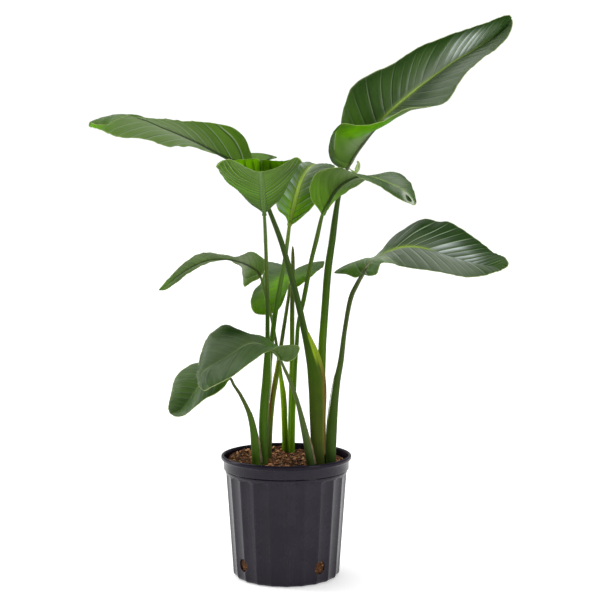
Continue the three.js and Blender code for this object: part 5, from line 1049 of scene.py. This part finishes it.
def grower_pot(material):
    prof = pot_profile()
    deg = FLUTE_PHASE + np.arange(TURNS) * 360.0 / TURNS
    co, faces, first = [], [], []
    ring_index = []
    for r, z, kind in prof:
        if r == 0.0:
            ring_index.append([len(co)] * TURNS)
            co.append((0.0, 0.0, z))
            continue
        rr = np.full(TURNS, r)
        if kind == 1:
            rr = rr - flute_cut(deg, z)
        a = np.radians(deg)
        ring_index.append(list(range(len(co), len(co) + TURNS)))
        co.extend(zip(rr * np.cos(a), rr * np.sin(a), np.full(TURNS, z)))
    co = [tuple(map(float, p)) for p in co]
    outer_rows = [i for i, p in enumerate(prof) if p[2] == 1 and 16.9 < p[1] < 49.1]
    inner_rows = [i for i, p in enumerate(prof) if p[2] == 2 and 16.9 < p[1] < 49.1]
    half_cols = 8
    cells = set()

    def surface(kind, degree, z):
        r = wall_radius(z) - flute_cut(degree, z) if kind == 1 else inner_radius(z)
        a = math.radians(degree)
        return (float(r * math.cos(a)), float(r * math.sin(a)), float(z))

    loops = {}
    for h, hole in enumerate(HOLE_ANGLES):
        centre_col = int(round((hole - FLUTE_PHASE) / 360.0 * TURNS))
        for kind, rows_ in ((1, outer_rows), (2, inner_rows)):
            r0, r1 = rows_[0], rows_[-1]
            c0, c1 = centre_col - half_cols, centre_col + half_cols
            for i in range(r0, r1):
                for j in range(c0, c1):
                    cells.add((i, j % TURNS))
            path = [(r0, j) for j in range(c0, c1)] + [(i, c1) for i in range(r0, r1)] + [(r1, j) for j in range(c1, c0, -1)] + [(i, c0) for i in range(r1, r0, -1)]
            edge = [ring_index[i][j % TURNS] for i, j in path]
            radius = wall_radius(HOLE_HEIGHT)
            rings = [edge]
            dirs = []
            for i, j in path:
                dx = math.radians(FLUTE_PHASE + j * 360.0 / TURNS - hole) * radius
                dz = prof[i][1] - HOLE_HEIGHT
                dirs.append((dx, dz))
            hr = HOLE_DIAMETER / 2
            for level, rad_ in ((0.45, None), (0.8, None), (1.0, hr + 0.5), (1.0, hr)):
                ring = []
                for dx, dz in dirs:
                    ln = math.hypot(dx, dz)
                    target = hr + 0.5 if rad_ is None else rad_
                    k = target / ln
                    f = level if rad_ is None else 1.0
                    x, z = dx * (1 - f + f * k), dz * (1 - f + f * k)
                    p = surface(kind, hole + math.degrees(x / radius), HOLE_HEIGHT + z)
                    if rad_ == hr:  # a softened edge
                        sink = -0.35 if kind == 1 else 0.35
                        q = math.hypot(p[0], p[1])
                        p = (p[0] * (q + sink) / q, p[1] * (q + sink) / q, p[2])
                    ring.append(len(co))
                    co.append(p)
                rings.append(ring)
            m = len(edge)
            for a_, b_ in zip(rings, rings[1:]):
                for q in range(m):
                    w = (q + 1) % m
                    faces.append([a_[q], a_[w], b_[w], b_[q]])
            loops[(h, kind)] = (rings[-1], dirs)
        # wall of the hole: outer circle to inner circle, matched by direction
        (o_ring, o_dirs), (i_ring, i_dirs) = loops[(h, 1)], loops[(h, 2)]
        m = len(o_ring)
        ia = [math.atan2(dz, dx) for dx, dz in i_dirs]
        start = min(range(m), key=lambda q: abs(math.remainder(ia[q] - math.atan2(o_dirs[0][1], o_dirs[0][0]), 2 * math.pi)))
        step = 1 if math.remainder(ia[(start + 1) % m] - ia[start], 2 * math.pi) * math.remainder(math.atan2(o_dirs[1][1], o_dirs[1][0]) - math.atan2(o_dirs[0][1], o_dirs[0][0]), 2 * math.pi) > 0 else -1
        match = [i_ring[(start + step * q) % m] for q in range(m)]
        for q in range(m):
            w = (q + 1) % m
            faces.append([o_ring[q], o_ring[w], match[w], match[q]])
    for i in range(len(prof) - 1):
        a_, b_ = ring_index[i], ring_index[i + 1]
        for j in range(TURNS):
            if (i, j) in cells:
                continue
            k = (j + 1) % TURNS
            if a_[0] == a_[-1]:
                faces.append([a_[0], b_[k], b_[j]])
            elif b_[0] == b_[-1]:
                faces.append([a_[j], a_[k], b_[0]])
            else:
                faces.append([a_[j], a_[k], b_[k], b_[j]])
    me = bpy.data.meshes.new("nursery_pot")
    me.from_pydata((np.array(co) * MM).tolist(), [], faces)
    import bmesh

    bm = bmesh.new()
    bm.from_mesh(me)
    bmesh.ops.recalc_face_normals(bm, faces=bm.faces)
    bm.to_mesh(me)
    bm.free()
    me.polygons.foreach_set("use_smooth", np.ones(len(me.polygons), bool))
    me.set_sharp_from_angle(angle=math.radians(38))
    me.materials.append(material)
    me.update()
    ob = bpy.data.objects.new("nursery_pot", me)
    bpy.context.scene.collection.objects.link(ob)
    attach(ob, "root")
    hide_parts("grower_pot")
    return ob


# ---------------------------------------------------------------- potting mix
def mix_height(x, y):
    r = np.hypot(x, y)
    z = MIX_TOP + MIX_CROWN * (1 - sstep(10, 112, r))
    # heaped a little higher against the back on the left
    z = z + 6.5 * (1 - sstep(-12, 18, x)) * sstep(-20, 45, y) * sstep(35, 95, r)
    z = z + 1.5 * noise2(x / 17.0 + 40, y / 17.0 + 40, 301) + 1.0 * noise2(x / 7.0 + 9, y / 7.0 + 9, 302) + 0.6 * noise2(x / 3.1 + 5, y / 3.1 + 5, 303)
    return z


def mix_bed(material):
    """The bed of the mix: a crumbly top, and sides that follow the inside of the pot."""
    turns = 180
    a = np.linspace(0, 2 * np.pi, turns, endpoint=False)
    rows = []
    top_r = np.concatenate([np.linspace(1.5, 109, 68), [112, 114.6]])
    inner = lambda z: inner_radius(z) - 0.5
    for r in top_r:
        x, y = r * np.cos(a), r * np.sin(a)
        rows.append(np.stack([x, y, mix_height(x, y)], -1))
    for z in list(np.linspace(219, 56, 16)) + list(np.linspace(50, 16, 20)) + [11.0]:
        bump = 0.9 * (noise2(a * 16 + 60, np.full(turns, z / 5.0 + 3), 310) - 1) if z < 60 else 0
        r = (inner(z) if z < BAND_FOOT - 4 else inner(BAND_FOOT - 4) + 0.5) + bump
        rows.append(np.stack([r * np.cos(a), r * np.sin(a), np.full(turns, z)], -1))
    for r, z in ((92.0, 3.6), (50.0, 3.6), (2.0, 3.6)):
        rows.append(np.stack([r * np.cos(a), r * np.sin(a), np.full(turns, z)], -1))
    co = np.concatenate(rows)
    faces = [list(f) for f in grid_faces(len(rows), turns, closed=True)]
    top, low = len(co), len(co) + 1
    co = np.vstack([co, [0, 0, float(mix_height(0.0, 0.0))], [0, 0, 3.6]])
    last = (len(rows) - 1) * turns
    for j in range(turns):
        k = (j + 1) % turns
        faces.append([k, j, top])
        faces.append([last + j, last + k, low])
    faces = [f[::-1] for f in faces]
    p0, p1, p2 = (np.array(co[v]) for v in faces[0][:3])
    if np.cross(p1 - p0, p2 - p0)[2] < 0:
        faces = [f[::-1] for f in faces]
    return make_piece("mix_bed", co, faces, material, ["potting_mix"])


def hull_shapes(count, seed):
    """Rough convex chips, as unit shapes."""
    import bmesh

    rng = np.random.default_rng(seed)
    shapes = []
    for _ in range(count):
        p = unit(rng.normal(size=(11, 3))) * rng.uniform(0.82, 1.0, (11, 1))
        p = np.sign(p) * np.abs(p) ** 0.72
        bm = bmesh.new()
        for q in p:
            bm.verts.new(q)
        res = bmesh.ops.convex_hull(bm, input=bm.verts)
        drop = [g for g in res["geom_interior"] + res["geom_unused"] if isinstance(g, bmesh.types.BMVert)]
        if drop:
            bmesh.ops.delete(bm, geom=list(set(drop)), context="VERTS")
        bmesh.ops.recalc_face_normals(bm, faces=bm.faces)
        bm.verts.index_update()
        shapes.append((np.array([v.co[:] for v in bm.verts]), [[v.index for v in f.verts] for f in bm.faces]))
        bm.free()
    return shapes


def turn_matrix(rng, tilt):
    """A random turn about the vertical with a random tilt off it."""
    yaw, axis, lean = rng.uniform(0, 2 * np.pi), rng.uniform(0, 2 * np.pi), rng.normal() * tilt
    c, s = math.cos(yaw), math.sin(yaw)
    rz = np.array([[c, -s, 0], [s, c, 0], [0, 0, 1]])
    k = np.array([math.cos(axis), math.sin(axis), 0])
    kx = np.array([[0, -k[2], k[1]], [k[2], 0, -k[0]], [-k[1], k[0], 0]])
    return (np.eye(3) + math.sin(lean) * kx + (1 - math.cos(lean)) * kx @ kx) @ rz


def chips(name, material, places, sizes, turns, seed):
    shapes = hull_shapes(30, seed)
    rng = np.random.default_rng(seed + 1)
    co, faces, tone = [], [], []
    n = 0
    for place, size, m in zip(places, sizes, turns):
        v, f = shapes[rng.integers(len(shapes))]
        w = (v * size) @ m.T + place
        co.append(w)
        faces.extend([[a + n for a in face] for face in f])
        tone.append(np.full(len(v), np.clip(rng.beta(1.15, 1.35), 0, 1)))
        n += len(v)
    co = np.concatenate(co)
    return make_piece(name, co, faces, material, (), {"chip_tone": np.concatenate(tone)}, sharp=28)


def mix_chips(material, stems):
    rng = np.random.default_rng(88)
    places, sizes, turns = [], [], []
    while len(places) < 2600:
        r, a = 113.5 * math.sqrt(rng.uniform()), rng.uniform(0, 2 * math.pi)
        x, y = r * math.cos(a), r * math.sin(a)
        big = rng.uniform() < 0.22
        ln = rng.uniform(4.0, 7.5) if big else rng.uniform(1.6, 4.0)
        if r + ln * 0.8 > 115.0:
            continue
        if any(math.hypot((x - q[0]) / (q[2] + ln * 0.5), (y - q[1]) / (q[3] + ln * 0.5)) < 1 for q in stems):
            continue
        size = np.array([ln, ln * rng.uniform(0.35, 0.75), ln * rng.uniform(0.16, 0.42)])
        places.append([x, y, float(mix_height(x, y)) + rng.uniform(-0.3, 0.9) * size[2] + (0.6 if big else 0.0)])
        sizes.append(size)
        turns.append(turn_matrix(rng, 0.42))
    return chips("bark_top", material, places, sizes, turns, 500)


def hole_chips(material):
    """The mix as seen through the drainage holes."""
    rng = np.random.default_rng(97)
    places, sizes, turns = [], [], []
    for hole in HOLE_ANGLES:
        a0 = math.radians(hole)
        out = np.array([math.cos(a0), math.sin(a0), 0.0])
        side = np.array([-math.sin(a0), math.cos(a0), 0.0])
        for _ in range(70):
            u, v = rng.uniform(-14, 14), rng.uniform(-14, 14)
            if math.hypot(u, v) > 14.5:
                continue
            ln = rng.uniform(1.8, 5.2)
            size = np.array([ln, ln * rng.uniform(0.35, 0.7), ln * rng.uniform(0.2, 0.4)])
            depth = inner_radius(HOLE_HEIGHT + v) * math.cos(u / 100.0) - 0.8 - size[2] - rng.uniform(0, 2.2)
            m = turn_matrix(rng, 0.5)
            lay = np.stack([side, np.array([0, 0, 1.0]), out], 1)
            places.append(out * depth + side * u + np.array([0, 0, HOLE_HEIGHT + v]))
            sizes.append(size)
            turns.append(lay @ m)
    return chips("bark_at_holes", material, places, sizes, turns, 520)


def fibres(material, stems):
    """Loose coir strands lying on the mix."""
    rng = np.random.default_rng(61)
    co, faces, tone = [], [], []
    n = 0
    for _ in range(260):
        r, a = 100.0 * math.sqrt(rng.uniform()), rng.uniform(0, 2 * math.pi)
        p = np.array([r * math.cos(a), r * math.sin(a)])
        head = rng.uniform(0, 2 * math.pi)
        bend = rng.normal() * 0.22
        steps = rng.integers(6, 12)
        line = []
        for _s in range(steps):
            if np.hypot(*p) > 108:
                break
            line.append([p[0], p[1], float(mix_height(p[0], p[1])) + 1.3 + 0.9 * math.sin(_s * 0.9 + a)])
            p = p + 2.6 * np.array([math.cos(head), math.sin(head)])
            head += bend + rng.normal() * 0.1
        if len(line) < 4 or any(math.hypot(line[0][0] - q[0], line[0][1] - q[1]) < q[2] + 2 for q in stems):
            continue
        line = np.array(line)
        along = unit(np.gradient(line, axis=0))
        e1 = unit(np.cross(along, [[0, 0, 1.0]]))
        e2 = np.cross(e1, along)
        w = rng.uniform(0.22, 0.5) * np.sin(np.linspace(0.25, np.pi - 0.25, len(line)))
        ang = np.linspace(0, 2 * np.pi, 5, endpoint=False)
        ring = line[:, None] + w[:, None, None] * (np.cos(ang)[None, :, None] * e1[:, None] + np.sin(ang)[None, :, None] * e2[:, None])
        co.append(ring.reshape(-1, 3))
        g = grid_faces(len(line), 5, n, closed=True)
        faces.extend(g.tolist())
        faces.append([n + k for k in range(5)][::-1])
        last = n + (len(line) - 1) * 5
        faces.append([last + k for k in range(5)])
        tone.append(np.full(len(line) * 5, rng.uniform(0.55, 1.0)))
        n += len(line) * 5
    import bmesh

    co = np.concatenate(co)
    ob = make_piece("coir_strands", co, faces, material, (), {"chip_tone": np.concatenate(tone)})
    bm = bmesh.new()
    bm.from_mesh(ob.data)
    bmesh.ops.recalc_face_normals(bm, faces=bm.faces)
    bm.to_mesh(ob.data)
    bm.free()
    return ob


# ---------------------------------------------------------------- build
def upper_normal(rows):
    r = np.array(rows[2], float).reshape(5, 3)
    q = np.array(rows[4], float).reshape(5, 3)
    return unit(np.cross(r[4] - r[0], q[2] - r[2]))


def leaf_look(place, seed, pitch, pleat, up=((0.020, 0.052, 0.008), (0.044, 0.092, 0.020)), low=((0.046, 0.088, 0.014), (0.084, 0.140, 0.030)), glow=(0.50, 0.80, 0.018), rib=None, taper=0.75, lean=(0.5, 0.7, 0.5, 0.7), bend=(0.75, 0.45), wave=1.6, channel=0.30, patches=(), **paint):
    """Shape and colours of one blade. Patches are tinted areas: kind, place along the blade,
    place across it (-1 left margin, 1 right margin), their half sizes, and the strength. Pale patches
    are painted sheen, deep ones painted shade, lit ones a painted backlit glow and gleam ones painted
    highlights; bone patches are a cream tone at one neck and a painted highlight ring at one tip."""
    paint = leaf_material("leaf_" + place, up, low, glow, pitch=pitch, **paint)
    start = STALK_LINES[place][0][3]
    return {"seed": seed, "material": paint, "rib": rib or start, "rib_start": start, "taper": taper, "pitch": pitch, "pleat": pleat, "lean": lean, "bend": bend, "wave": wave, "channel": channel, "patches": patches}


LEAVES = {
    "top_right": leaf_look("top_right", 11, 21.0, 1.6, up=((0.026, 0.064, 0.010), (0.056, 0.112, 0.025)), rib=4.0, lean=(-0.2, 0.9, 0.3, 0.9), see=(0.30, 0.10), veins=(0.9, 0.2), band=4.5, rib_up=(0.34, 0.50, 0.08), rib_low=(0.03, 0.05, 0.012), neck=(0.16, 0.20, 0.10), patches=(("deep", 0.22, -0.85, 0.12, 0.6, 0.45), ("deep", 0.60, -1.0, 0.34, 0.24, 1.2), ("deep", 0.95, -0.5, 0.11, 1.1, 1.1), ("gleam", 0.705, -0.42, 0.070, 0.28, 2.0), ("pale", 0.58, -0.15, 0.20, 0.35, 0.75), ("pale", 0.64, 0.70, 0.25, 0.6, 1.0), ("deep", 0.46, 0.25, 0.10, 0.22, 0.7), ("lit", 0.22, 0.70, 0.07, 0.45, 1.8), ("deep", 0.09, -0.10, 0.09, 0.10, 0.7), ("pale", 0.16, 0.16, 0.06, 0.20, 1.8), ("gleam", 0.24, 0.20, 0.06, 0.14, 1.0))),
    "top_left": leaf_look("top_left", 23, 24.0, 1.6, up=((0.045, 0.100, 0.010), (0.080, 0.150, 0.020)), lean=(0.40, 0.65, 0.35, 0.60), bend=(0.95, -0.10), see=(0.34, 0.27), veins=(0.6, 1.1), shine=(0.05, 0.08), coat=0.0, fade=(0.85, 1.0, 0.6), tail=0.30, band=4.0, pale_low=(0.36, 0.46, 0.28), rib_low=(0.030, 0.056, 0.012), patches=(("pale", 0.48, 0.0, 0.24, 0.9, 0.85), ("pale", 0.85, 0.2, 0.16, 0.8, 0.6), ("lit", 0.92, 0.8, 0.10, 0.5, 0.9))),
    "upper_front": leaf_look("upper_front", 35, 14.0, 1.1, low=((0.042, 0.080, 0.011), (0.076, 0.128, 0.024)), rib=4.3, taper=0.12, see=(0.46, 0.40), shine=(0.20, 0.04), veins=(0.2, 1.5), band=3.6, thick_line=1.6, rib_block=0.25, fade=(0.8, 1.0, 0.4), pale_low=(0.25, 0.36, 0.14), rib_low=(0.105, 0.175, 0.048), neck=(0.08, 0.13, 0.030), patches=(("lit", 0.33, 1.0, 0.14, 0.7, 1.4), ("lit", 0.33, -1.0, 0.12, 0.5, 0.9), ("deep", 0.47, -0.78, 0.33, 0.40, 0.8))),
    "upper_rear": leaf_look("upper_rear", 47, 16.0, 3.0, rib=5.6, rib_up=(0.42, 0.60, 0.09), veins=(1.0, 0.5), band=4.5, fade=(0.8, 1.0, 0.4), pale=(0.42, 0.55, 0.34), neck=(0.20, 0.32, 0.04), patches=(("lit", 0.06, 0.1, 0.08, 0.8, 0.5), ("gleam", 0.22, -0.70, 0.12, 0.38, 2.2), ("gleam", 0.46, -0.55, 0.10, 0.30, 1.0), ("pale", 0.52, -0.1, 0.16, 0.8, 1.0), ("deep", 0.30, 0.7, 0.2, 0.3, 0.3))),
    "upper_right": leaf_look("upper_right", 59, 13.0, 0.8, shine=(0.18, 0.04), lean=(0.9, 1.0, 0.9, 1.0), veins=(0.5, 0.35), rib_low=(0.025, 0.045, 0.010), see=(0.42, 0.25), patches=(("pale", 0.42, 0.45, 0.10, 0.35, 0.9), ("pale", 0.45, -0.6, 0.2, 0.4, 0.35), ("deep", 0.30, 0.02, 0.14, 0.16, 0.6), ("pale", 0.80, 0.1, 0.08, 0.6, 0.7), ("cream_and_glint", 0.902, 0.55, 0.046, 0.40, 2.6), ("cream_and_glint", 0.898, 0.56, 0.028, 0.24, -5.0), ("deep", 0.898, 0.56, 0.029, 0.25, 1.3), ("pale", 0.70, -0.52, 0.17, 0.42, 1.0), ("deep", 0.70, -1.0, 0.17, 0.15, 1.0), ("pale", 0.76, 0.40, 0.05, 0.25, 0.9), ("deep", 0.70, 0.30, 0.04, 0.25, 0.4))),
    "middle_rear": leaf_look("middle_rear", 61, 14.0, 0.8, up=((0.020, 0.056, 0.003), (0.042, 0.096, 0.006)), see=(0.34, 0.16), veins=(0.4, 0.3), shine=(0.04, 0.04), patches=(("lit", 0.22, -0.25, 0.13, 0.30, 0.7), ("deep", 0.33, -0.88, 0.10, 0.25, 0.35), ("pale", 0.64, 0.0, 0.10, 1.2, 0.6))),
    "lower_front": leaf_look("lower_front", 73, 11.0, 0.7, up=((0.036, 0.078, 0.016), (0.070, 0.128, 0.034)), rib_up=(0.19, 0.27, 0.11), see=(0.30, 0.12), veins=(0.3, 0.4), band=4.5, patches=(("deep", 0.36, 0.62, 0.12, 0.30, 1.2), ("deep", 0.80, -0.5, 0.16, 0.4, 0.35), ("pale", 0.54, 0.2, 0.20, 0.9, 0.50), ("pale", 0.10, -0.6, 0.08, 0.6, 0.7))),
    "middle_left": leaf_look("middle_left", 85, 14.0, 0.8, see=(0.26, 0.15), veins=(0.5, 0.6), shine=(0.16, 0.05), rib_low=(0.030, 0.042, 0.014), neck=(0.045, 0.060, 0.018), patches=(("pale", 0.20, 0.0, 0.07, 1.0, 1.5), ("pale", 0.6, -0.6, 0.28, 0.5, 0.20), ("lit", 0.94, 0.0, 0.07, 1.0, 0.4))),
    "lowest_left": leaf_look("lowest_left", 97, 11.0, 0.8, up=((0.027, 0.068, 0.010), (0.055, 0.112, 0.018)), rib_up=(0.20, 0.30, 0.10), see=(0.30, 0.15), veins=(0.45, 0.4), patches=(("deep", 0.30, -0.9, 0.16, 0.35, 0.5), ("pale", 0.62, 0.1, 0.2, 0.8, 0.08))),
    "middle_right": leaf_look("middle_right", 109, 16.0, 1.3, lean=(0.8, 0.7, -0.1, 0.25), bend=(1.2, -0.55), see=(0.30, 0.08), veins=(1.0, 0.5), band=3.2, thick_line=1.6, pale=(0.28, 0.38, 0.22), rib_up=(0.34, 0.50, 0.08), rib_fade=0.9, neck=(0.34, 0.33, 0.24), neck_up=(0.40, 0.42, 0.24), patches=(("deep", 0.93, 0.0, 0.11, 1.4, 1.3), ("lit", 0.93, 0.0, 0.09, 1.3, 0.12), ("deep", 0.53, -0.80, 0.27, 0.48, 1.6), ("gleam", 0.65, -0.04, 0.11, 0.30, 3.4), ("deep", 0.88, -0.5, 0.12, 0.5, 0.6), ("pale", 0.42, 0.6, 0.25, 0.6, 1.4), ("cream_and_glint", 0.135, 0.0, 0.045, 1.3, 0.50))),
}
for place, look in LEAVES.items():
    blade(place, LEAF_RAILS[place], look)

# colours of each stalk from the blade to the foot, and the depth of its channel
STALK_LOOK = {
    "top_right": ([(0.03, (0.150, 0.200, 0.080)), (0.11, (0.042, 0.080, 0.014)), (0.45, (0.050, 0.110, 0.006)), (0.62, (0.090, 0.180, 0.006)), (0.72, (0.070, 0.140, 0.005)), (0.86, (0.085, 0.130, 0.008)), (1.0, (0.095, 0.110, 0.020))], 0.30),
    "top_left": ([(0.03, (0.090, 0.150, 0.030)), (0.12, (0.056, 0.096, 0.020)), (0.45, (0.040, 0.080, 0.012)), (0.66, (0.046, 0.096, 0.005)), (0.80, (0.052, 0.086, 0.006)), (1.0, (0.060, 0.080, 0.008))], 0.24),
    "upper_front": ([(0.06, (0.100, 0.160, 0.035)), (0.25, (0.078, 0.125, 0.018)), (0.42, (0.034, 0.082, 0.005)), (0.70, (0.058, 0.135, 0.006)), (1.0, (0.066, 0.140, 0.010))], 0.24),
    "upper_rear": ([(0.05, (0.230, 0.340, 0.040)), (0.14, (0.130, 0.230, 0.045)), (0.35, (0.052, 0.130, 0.004)), (0.65, (0.060, 0.140, 0.004)), (1.0, (0.090, 0.130, 0.030))], 0.24),
    "upper_right": ([(0.05, (0.078, 0.140, 0.020)), (0.20, (0.066, 0.112, 0.012)), (0.45, (0.046, 0.115, 0.003)), (0.70, (0.095, 0.210, 0.001)), (0.85, (0.130, 0.300, 0.001)), (1.0, (0.160, 0.330, 0.001))], 0.22),
    "middle_rear": ([(0.05, (0.080, 0.130, 0.012)), (0.40, (0.066, 0.105, 0.012)), (0.60, (0.150, 0.215, 0.010)), (0.80, (0.110, 0.160, 0.020)), (1.0, (0.070, 0.110, 0.012))], 0.22),
    "lower_front": ([(0.10, (0.090, 0.130, 0.030)), (0.60, (0.070, 0.112, 0.026)), (1.0, (0.048, 0.090, 0.016))], 0.22),
    "middle_left": ([(0.05, (0.090, 0.150, 0.025)), (0.45, (0.085, 0.140, 0.012)), (0.62, (0.260, 0.470, 0.002)), (0.80, (0.200, 0.370, 0.001)), (1.0, (0.150, 0.320, 0.001))], 0.20),
    "lowest_left": ([(0.08, (0.100, 0.125, 0.050)), (0.30, (0.078, 0.115, 0.022)), (0.60, (0.066, 0.140, 0.010)), (1.0, (0.058, 0.120, 0.008))], 0.24),
    "middle_right": ([(0.04, (0.150, 0.170, 0.080)), (0.14, (0.055, 0.080, 0.018)), (0.45, (0.056, 0.092, 0.016)), (0.75, (0.044, 0.092, 0.009)), (1.0, (0.044, 0.086, 0.010))], 0.26),
}

STRIPES = {
    "top_left": ((0.60, 0.09, 0.55, 0.68, (0.22, 0.33, 0.010), 0.9), (0.55, 0.09, 0.64, 0.99, (0.100, 0.090, 0.008), 0.75)),
    "top_right": ((0.97, 0.16, 0.56, 0.72, (0.13, 0.25, 0.006), 0.8),),
    "middle_right": ((0.97, 0.12, 0.50, 0.86, (0.14, 0.21, 0.010), 0.7),),
    "middle_rear": ((0.90, 0.14, 0.52, 0.80, (0.20, 0.15, 0.004), 0.9), (0.60, 0.10, 0.50, 0.90, (0.16, 0.20, 0.020), 0.7)),
    "lower_front": ((0.90, 0.10, 0.20, 0.80, (0.11, 0.15, 0.050), 0.5),),
}


for k, (place, (stops, channel)) in enumerate(STALK_LOOK.items()):
    tube(place, STALK_LINES[place], LEAF_RAILS[place], {"material": stalk_material("petiole_" + place, stops, STRIPES.get(place, ())), "channel": channel, "seed": 200 + k, "faces": upper_normal(LEAF_RAILS[place])})
spear(STALK_LINES["spear"], {"material": stalk_material("spear_green", [(0.05, (0.110, 0.140, 0.030)), (0.14, (0.095, 0.135, 0.024)), (0.25, (0.080, 0.125, 0.012)), (0.50, (0.110, 0.200, 0.006)), (0.72, (0.150, 0.300, 0.004)), (1.0, (0.150, 0.320, 0.001))])})

# free edges of the sheaths, fresh green above and dry below
brown = husk_material("sheath_edge_brown", (0.21, 0.30, 0.016), (0.120, 0.088, 0.018), (0.10, 0.40))
tan = husk_material("sheath_edge_tan", (0.20, 0.22, 0.10), (0.230, 0.185, 0.110), (0.0, 0.3))
streak = husk_material("sheath_edge_streak", (0.30, 0.34, 0.030), (0.130, 0.055, 0.006), (0.10, 0.55))
sheath_edge("sheath_edge_top_left", "top_left", (482, 246), (6, -16), (2.0, 7.6, 6.4, 4.8, 3.4, 3.0, 2.6), brown, lean=14, seed=5)
sheath_edge("sheath_edge_upper_front", "upper_front", (448, 262), (-8, -26), (0.8, 4.0, 3.0, 1.6, 1.2), husk_material("sheath_edge_pale", (0.22, 0.30, 0.12), (0.15, 0.20, 0.07)), lean=6, seed=8)
sheath_edge("sheath_edge_middle_rear", "middle_rear", (425, 300), (-120, -104), (0.8, 3.4, 3.6, 1.5), streak, lean=-60, lift=0.4, seed=9, ripple=0.3)
sheath_edge("sheath_edge_middle_left", "middle_left", (376, 300), (-4, -10), (0.5, 1.8, 1.6, 0.8), streak, lean=10, seed=10)
sheath_edge("sheath_edge_lowest_left", "lowest_left", (330, 232), (-6, -34), (0.6, 1.4, 4.0, 5.0), tan, lean=12, seed=11)
sheath_edge("sheath_edge_lower_front", "lower_front", (326, 232), (0, -34), (0.6, 1.6, 3.6, 4.4), tan, lean=12, seed=12)
sheath_edge("sheath_edge_middle_right", "middle_right", (400, 270), (-172, -160), (0.5, 1.4, 1.4, 0.8), husk_material("sheath_edge_green", (0.15, 0.26, 0.02), (0.12, 0.19, 0.02)), lean=-14, seed=13)

# the pale curled lobe at the foot of the top right blade
lobe = husk_material("curled_lobe", (0.24, 0.36, 0.10), (0.34, 0.44, 0.18), (0.2, 0.7))
ribbon("leaf_lobe_top_right", [(122, 53, 802), (128, 55, 794), (135, 57, 788), (142, 58, 791), (146, 58, 799), (146, 58, 808), (142, 58, 814)], [0.8, 2.2, 7.5, 11.5, 10.5, 8.5, 4.0], [(0.1, -0.3, 0.9), (0.1, -0.3, 0.9), (-0.2, -0.35, 0.9), (-0.7, -0.4, 0.5), (-0.9, -0.4, 0.1), (-0.85, -0.4, -0.25), (-0.7, -0.4, -0.5)], lobe, thick=0.6, seed=31, ripple=0.5, bow=1.2, slot="leaf_blade")

grower_pot(pot_material())
stems = [(*crom(np.array(v)[:, :2], np.array([len(v) - 1.0]))[0], v[-1][3], v[-1][4]) for v in STALK_LINES.values()]
mix_bed(soil_material())
bark = bark_material()
mix_chips(bark, stems)
hole_chips(bark)
fibres(bark, stems)

# ---------------------------------------------------------------- floor, light, camera
floor_mesh = bpy.data.meshes.new("floor")
floor_mesh.from_pydata([(-30, -30, 0), (30, -30, 0), (30, 30, 0), (-30, 30, 0)], [], [[0, 1, 2, 3]])
floor = bpy.data.objects.new("floor", floor_mesh)
bpy.context.scene.collection.objects.link(floor)
ft = Tree("pale_floor")
floor_mesh.materials.append(ft.done(ft.principled(Base_Color=(0.90, 0.90, 0.90, 1), Roughness=0.9, Specular_IOR_Level=0.2, Emission_Color=(1, 1, 1, 1), Emission_Strength=0.34).outputs[0]))

world = bpy.data.worlds.new("studio")
bpy.context.scene.world = world
world.use_nodes = True
wn = world.node_tree
wn.nodes.clear()
w_out = wn.nodes.new("ShaderNodeOutputWorld")
w_bg = wn.nodes.new("ShaderNodeBackground")
w_co = wn.nodes.new("ShaderNodeTexCoord")
w_dot = wn.nodes.new("ShaderNodeVectorMath")
w_dot.operation = "DOT_PRODUCT"
w_dot.inputs[1].default_value = (0.0, 0.20, 0.10)
w_add = wn.nodes.new("ShaderNodeMath")
w_add.operation = "ADD"
w_add.inputs[1].default_value = 0.24
w_bg.inputs["Color"].default_value = (1, 1, 1, 1)
w_ray = wn.nodes.new("ShaderNodeLightPath")
w_mix = wn.nodes.new("ShaderNodeMix")
w_mix.data_type = "FLOAT"
wn.links.new(w_co.outputs["Generated"], w_dot.inputs[0])
wn.links.new(w_dot.outputs["Value"], w_add.inputs[0])
wn.links.new(w_ray.outputs["Is Camera Ray"], w_mix.inputs[0])
wn.links.new(w_add.outputs[0], w_mix.inputs[2])
w_mix.inputs[3].default_value = 1.06
wn.links.new(w_mix.outputs[0], w_bg.inputs["Strength"])
wn.links.new(w_bg.outputs[0], w_out.inputs[0])


def lamp(name, kind, place, aim, energy, size=(1, 1), colour=(1, 1, 1), angle=None):
    data = bpy.data.lights.new(name, kind)
    data.energy = energy
    data.color = colour
    if kind == "AREA":
        data.shape = "RECTANGLE"
        data.size, data.size_y = size
    if angle is not None:
        data.angle = math.radians(angle)
    ob = bpy.data.objects.new(name, data)
    bpy.context.scene.collection.objects.link(ob)
    ob.location = place
    ob.rotation_euler = (Vector(aim) - Vector(place)).to_track_quat("-Z", "Y").to_euler()
    ob.visible_camera = False
    return ob


lamp("left_soft", "AREA", (-2.6, 0.5, 1.1), (0.0, 0.0, 0.40), 36, (0.6, 2.0))
lamp("right_soft", "AREA", (2.3, -1.9, 1.35), (0.1, 0.0, 0.7), 46, (1.0, 1.6))
lamp("overhead", "SUN", (-1.25, 1.25, 4.65), (0, 0, 0), 2.6, angle=80)

cam_data = bpy.data.cameras.new("camera")
cam_data.lens = 77.1
cam_data.sensor_width = 36.0
cam_data.clip_end = 200
cam = bpy.data.objects.new("camera", cam_data)
bpy.context.scene.collection.objects.link(cam)
cam.location = (0.027, -2.5, 0.707)
cam.rotation_euler = (math.radians(90 - 3.8), 0, 0)
bpy.context.scene.camera = cam
bpy.context.scene.view_settings.view_transform = "Standard"
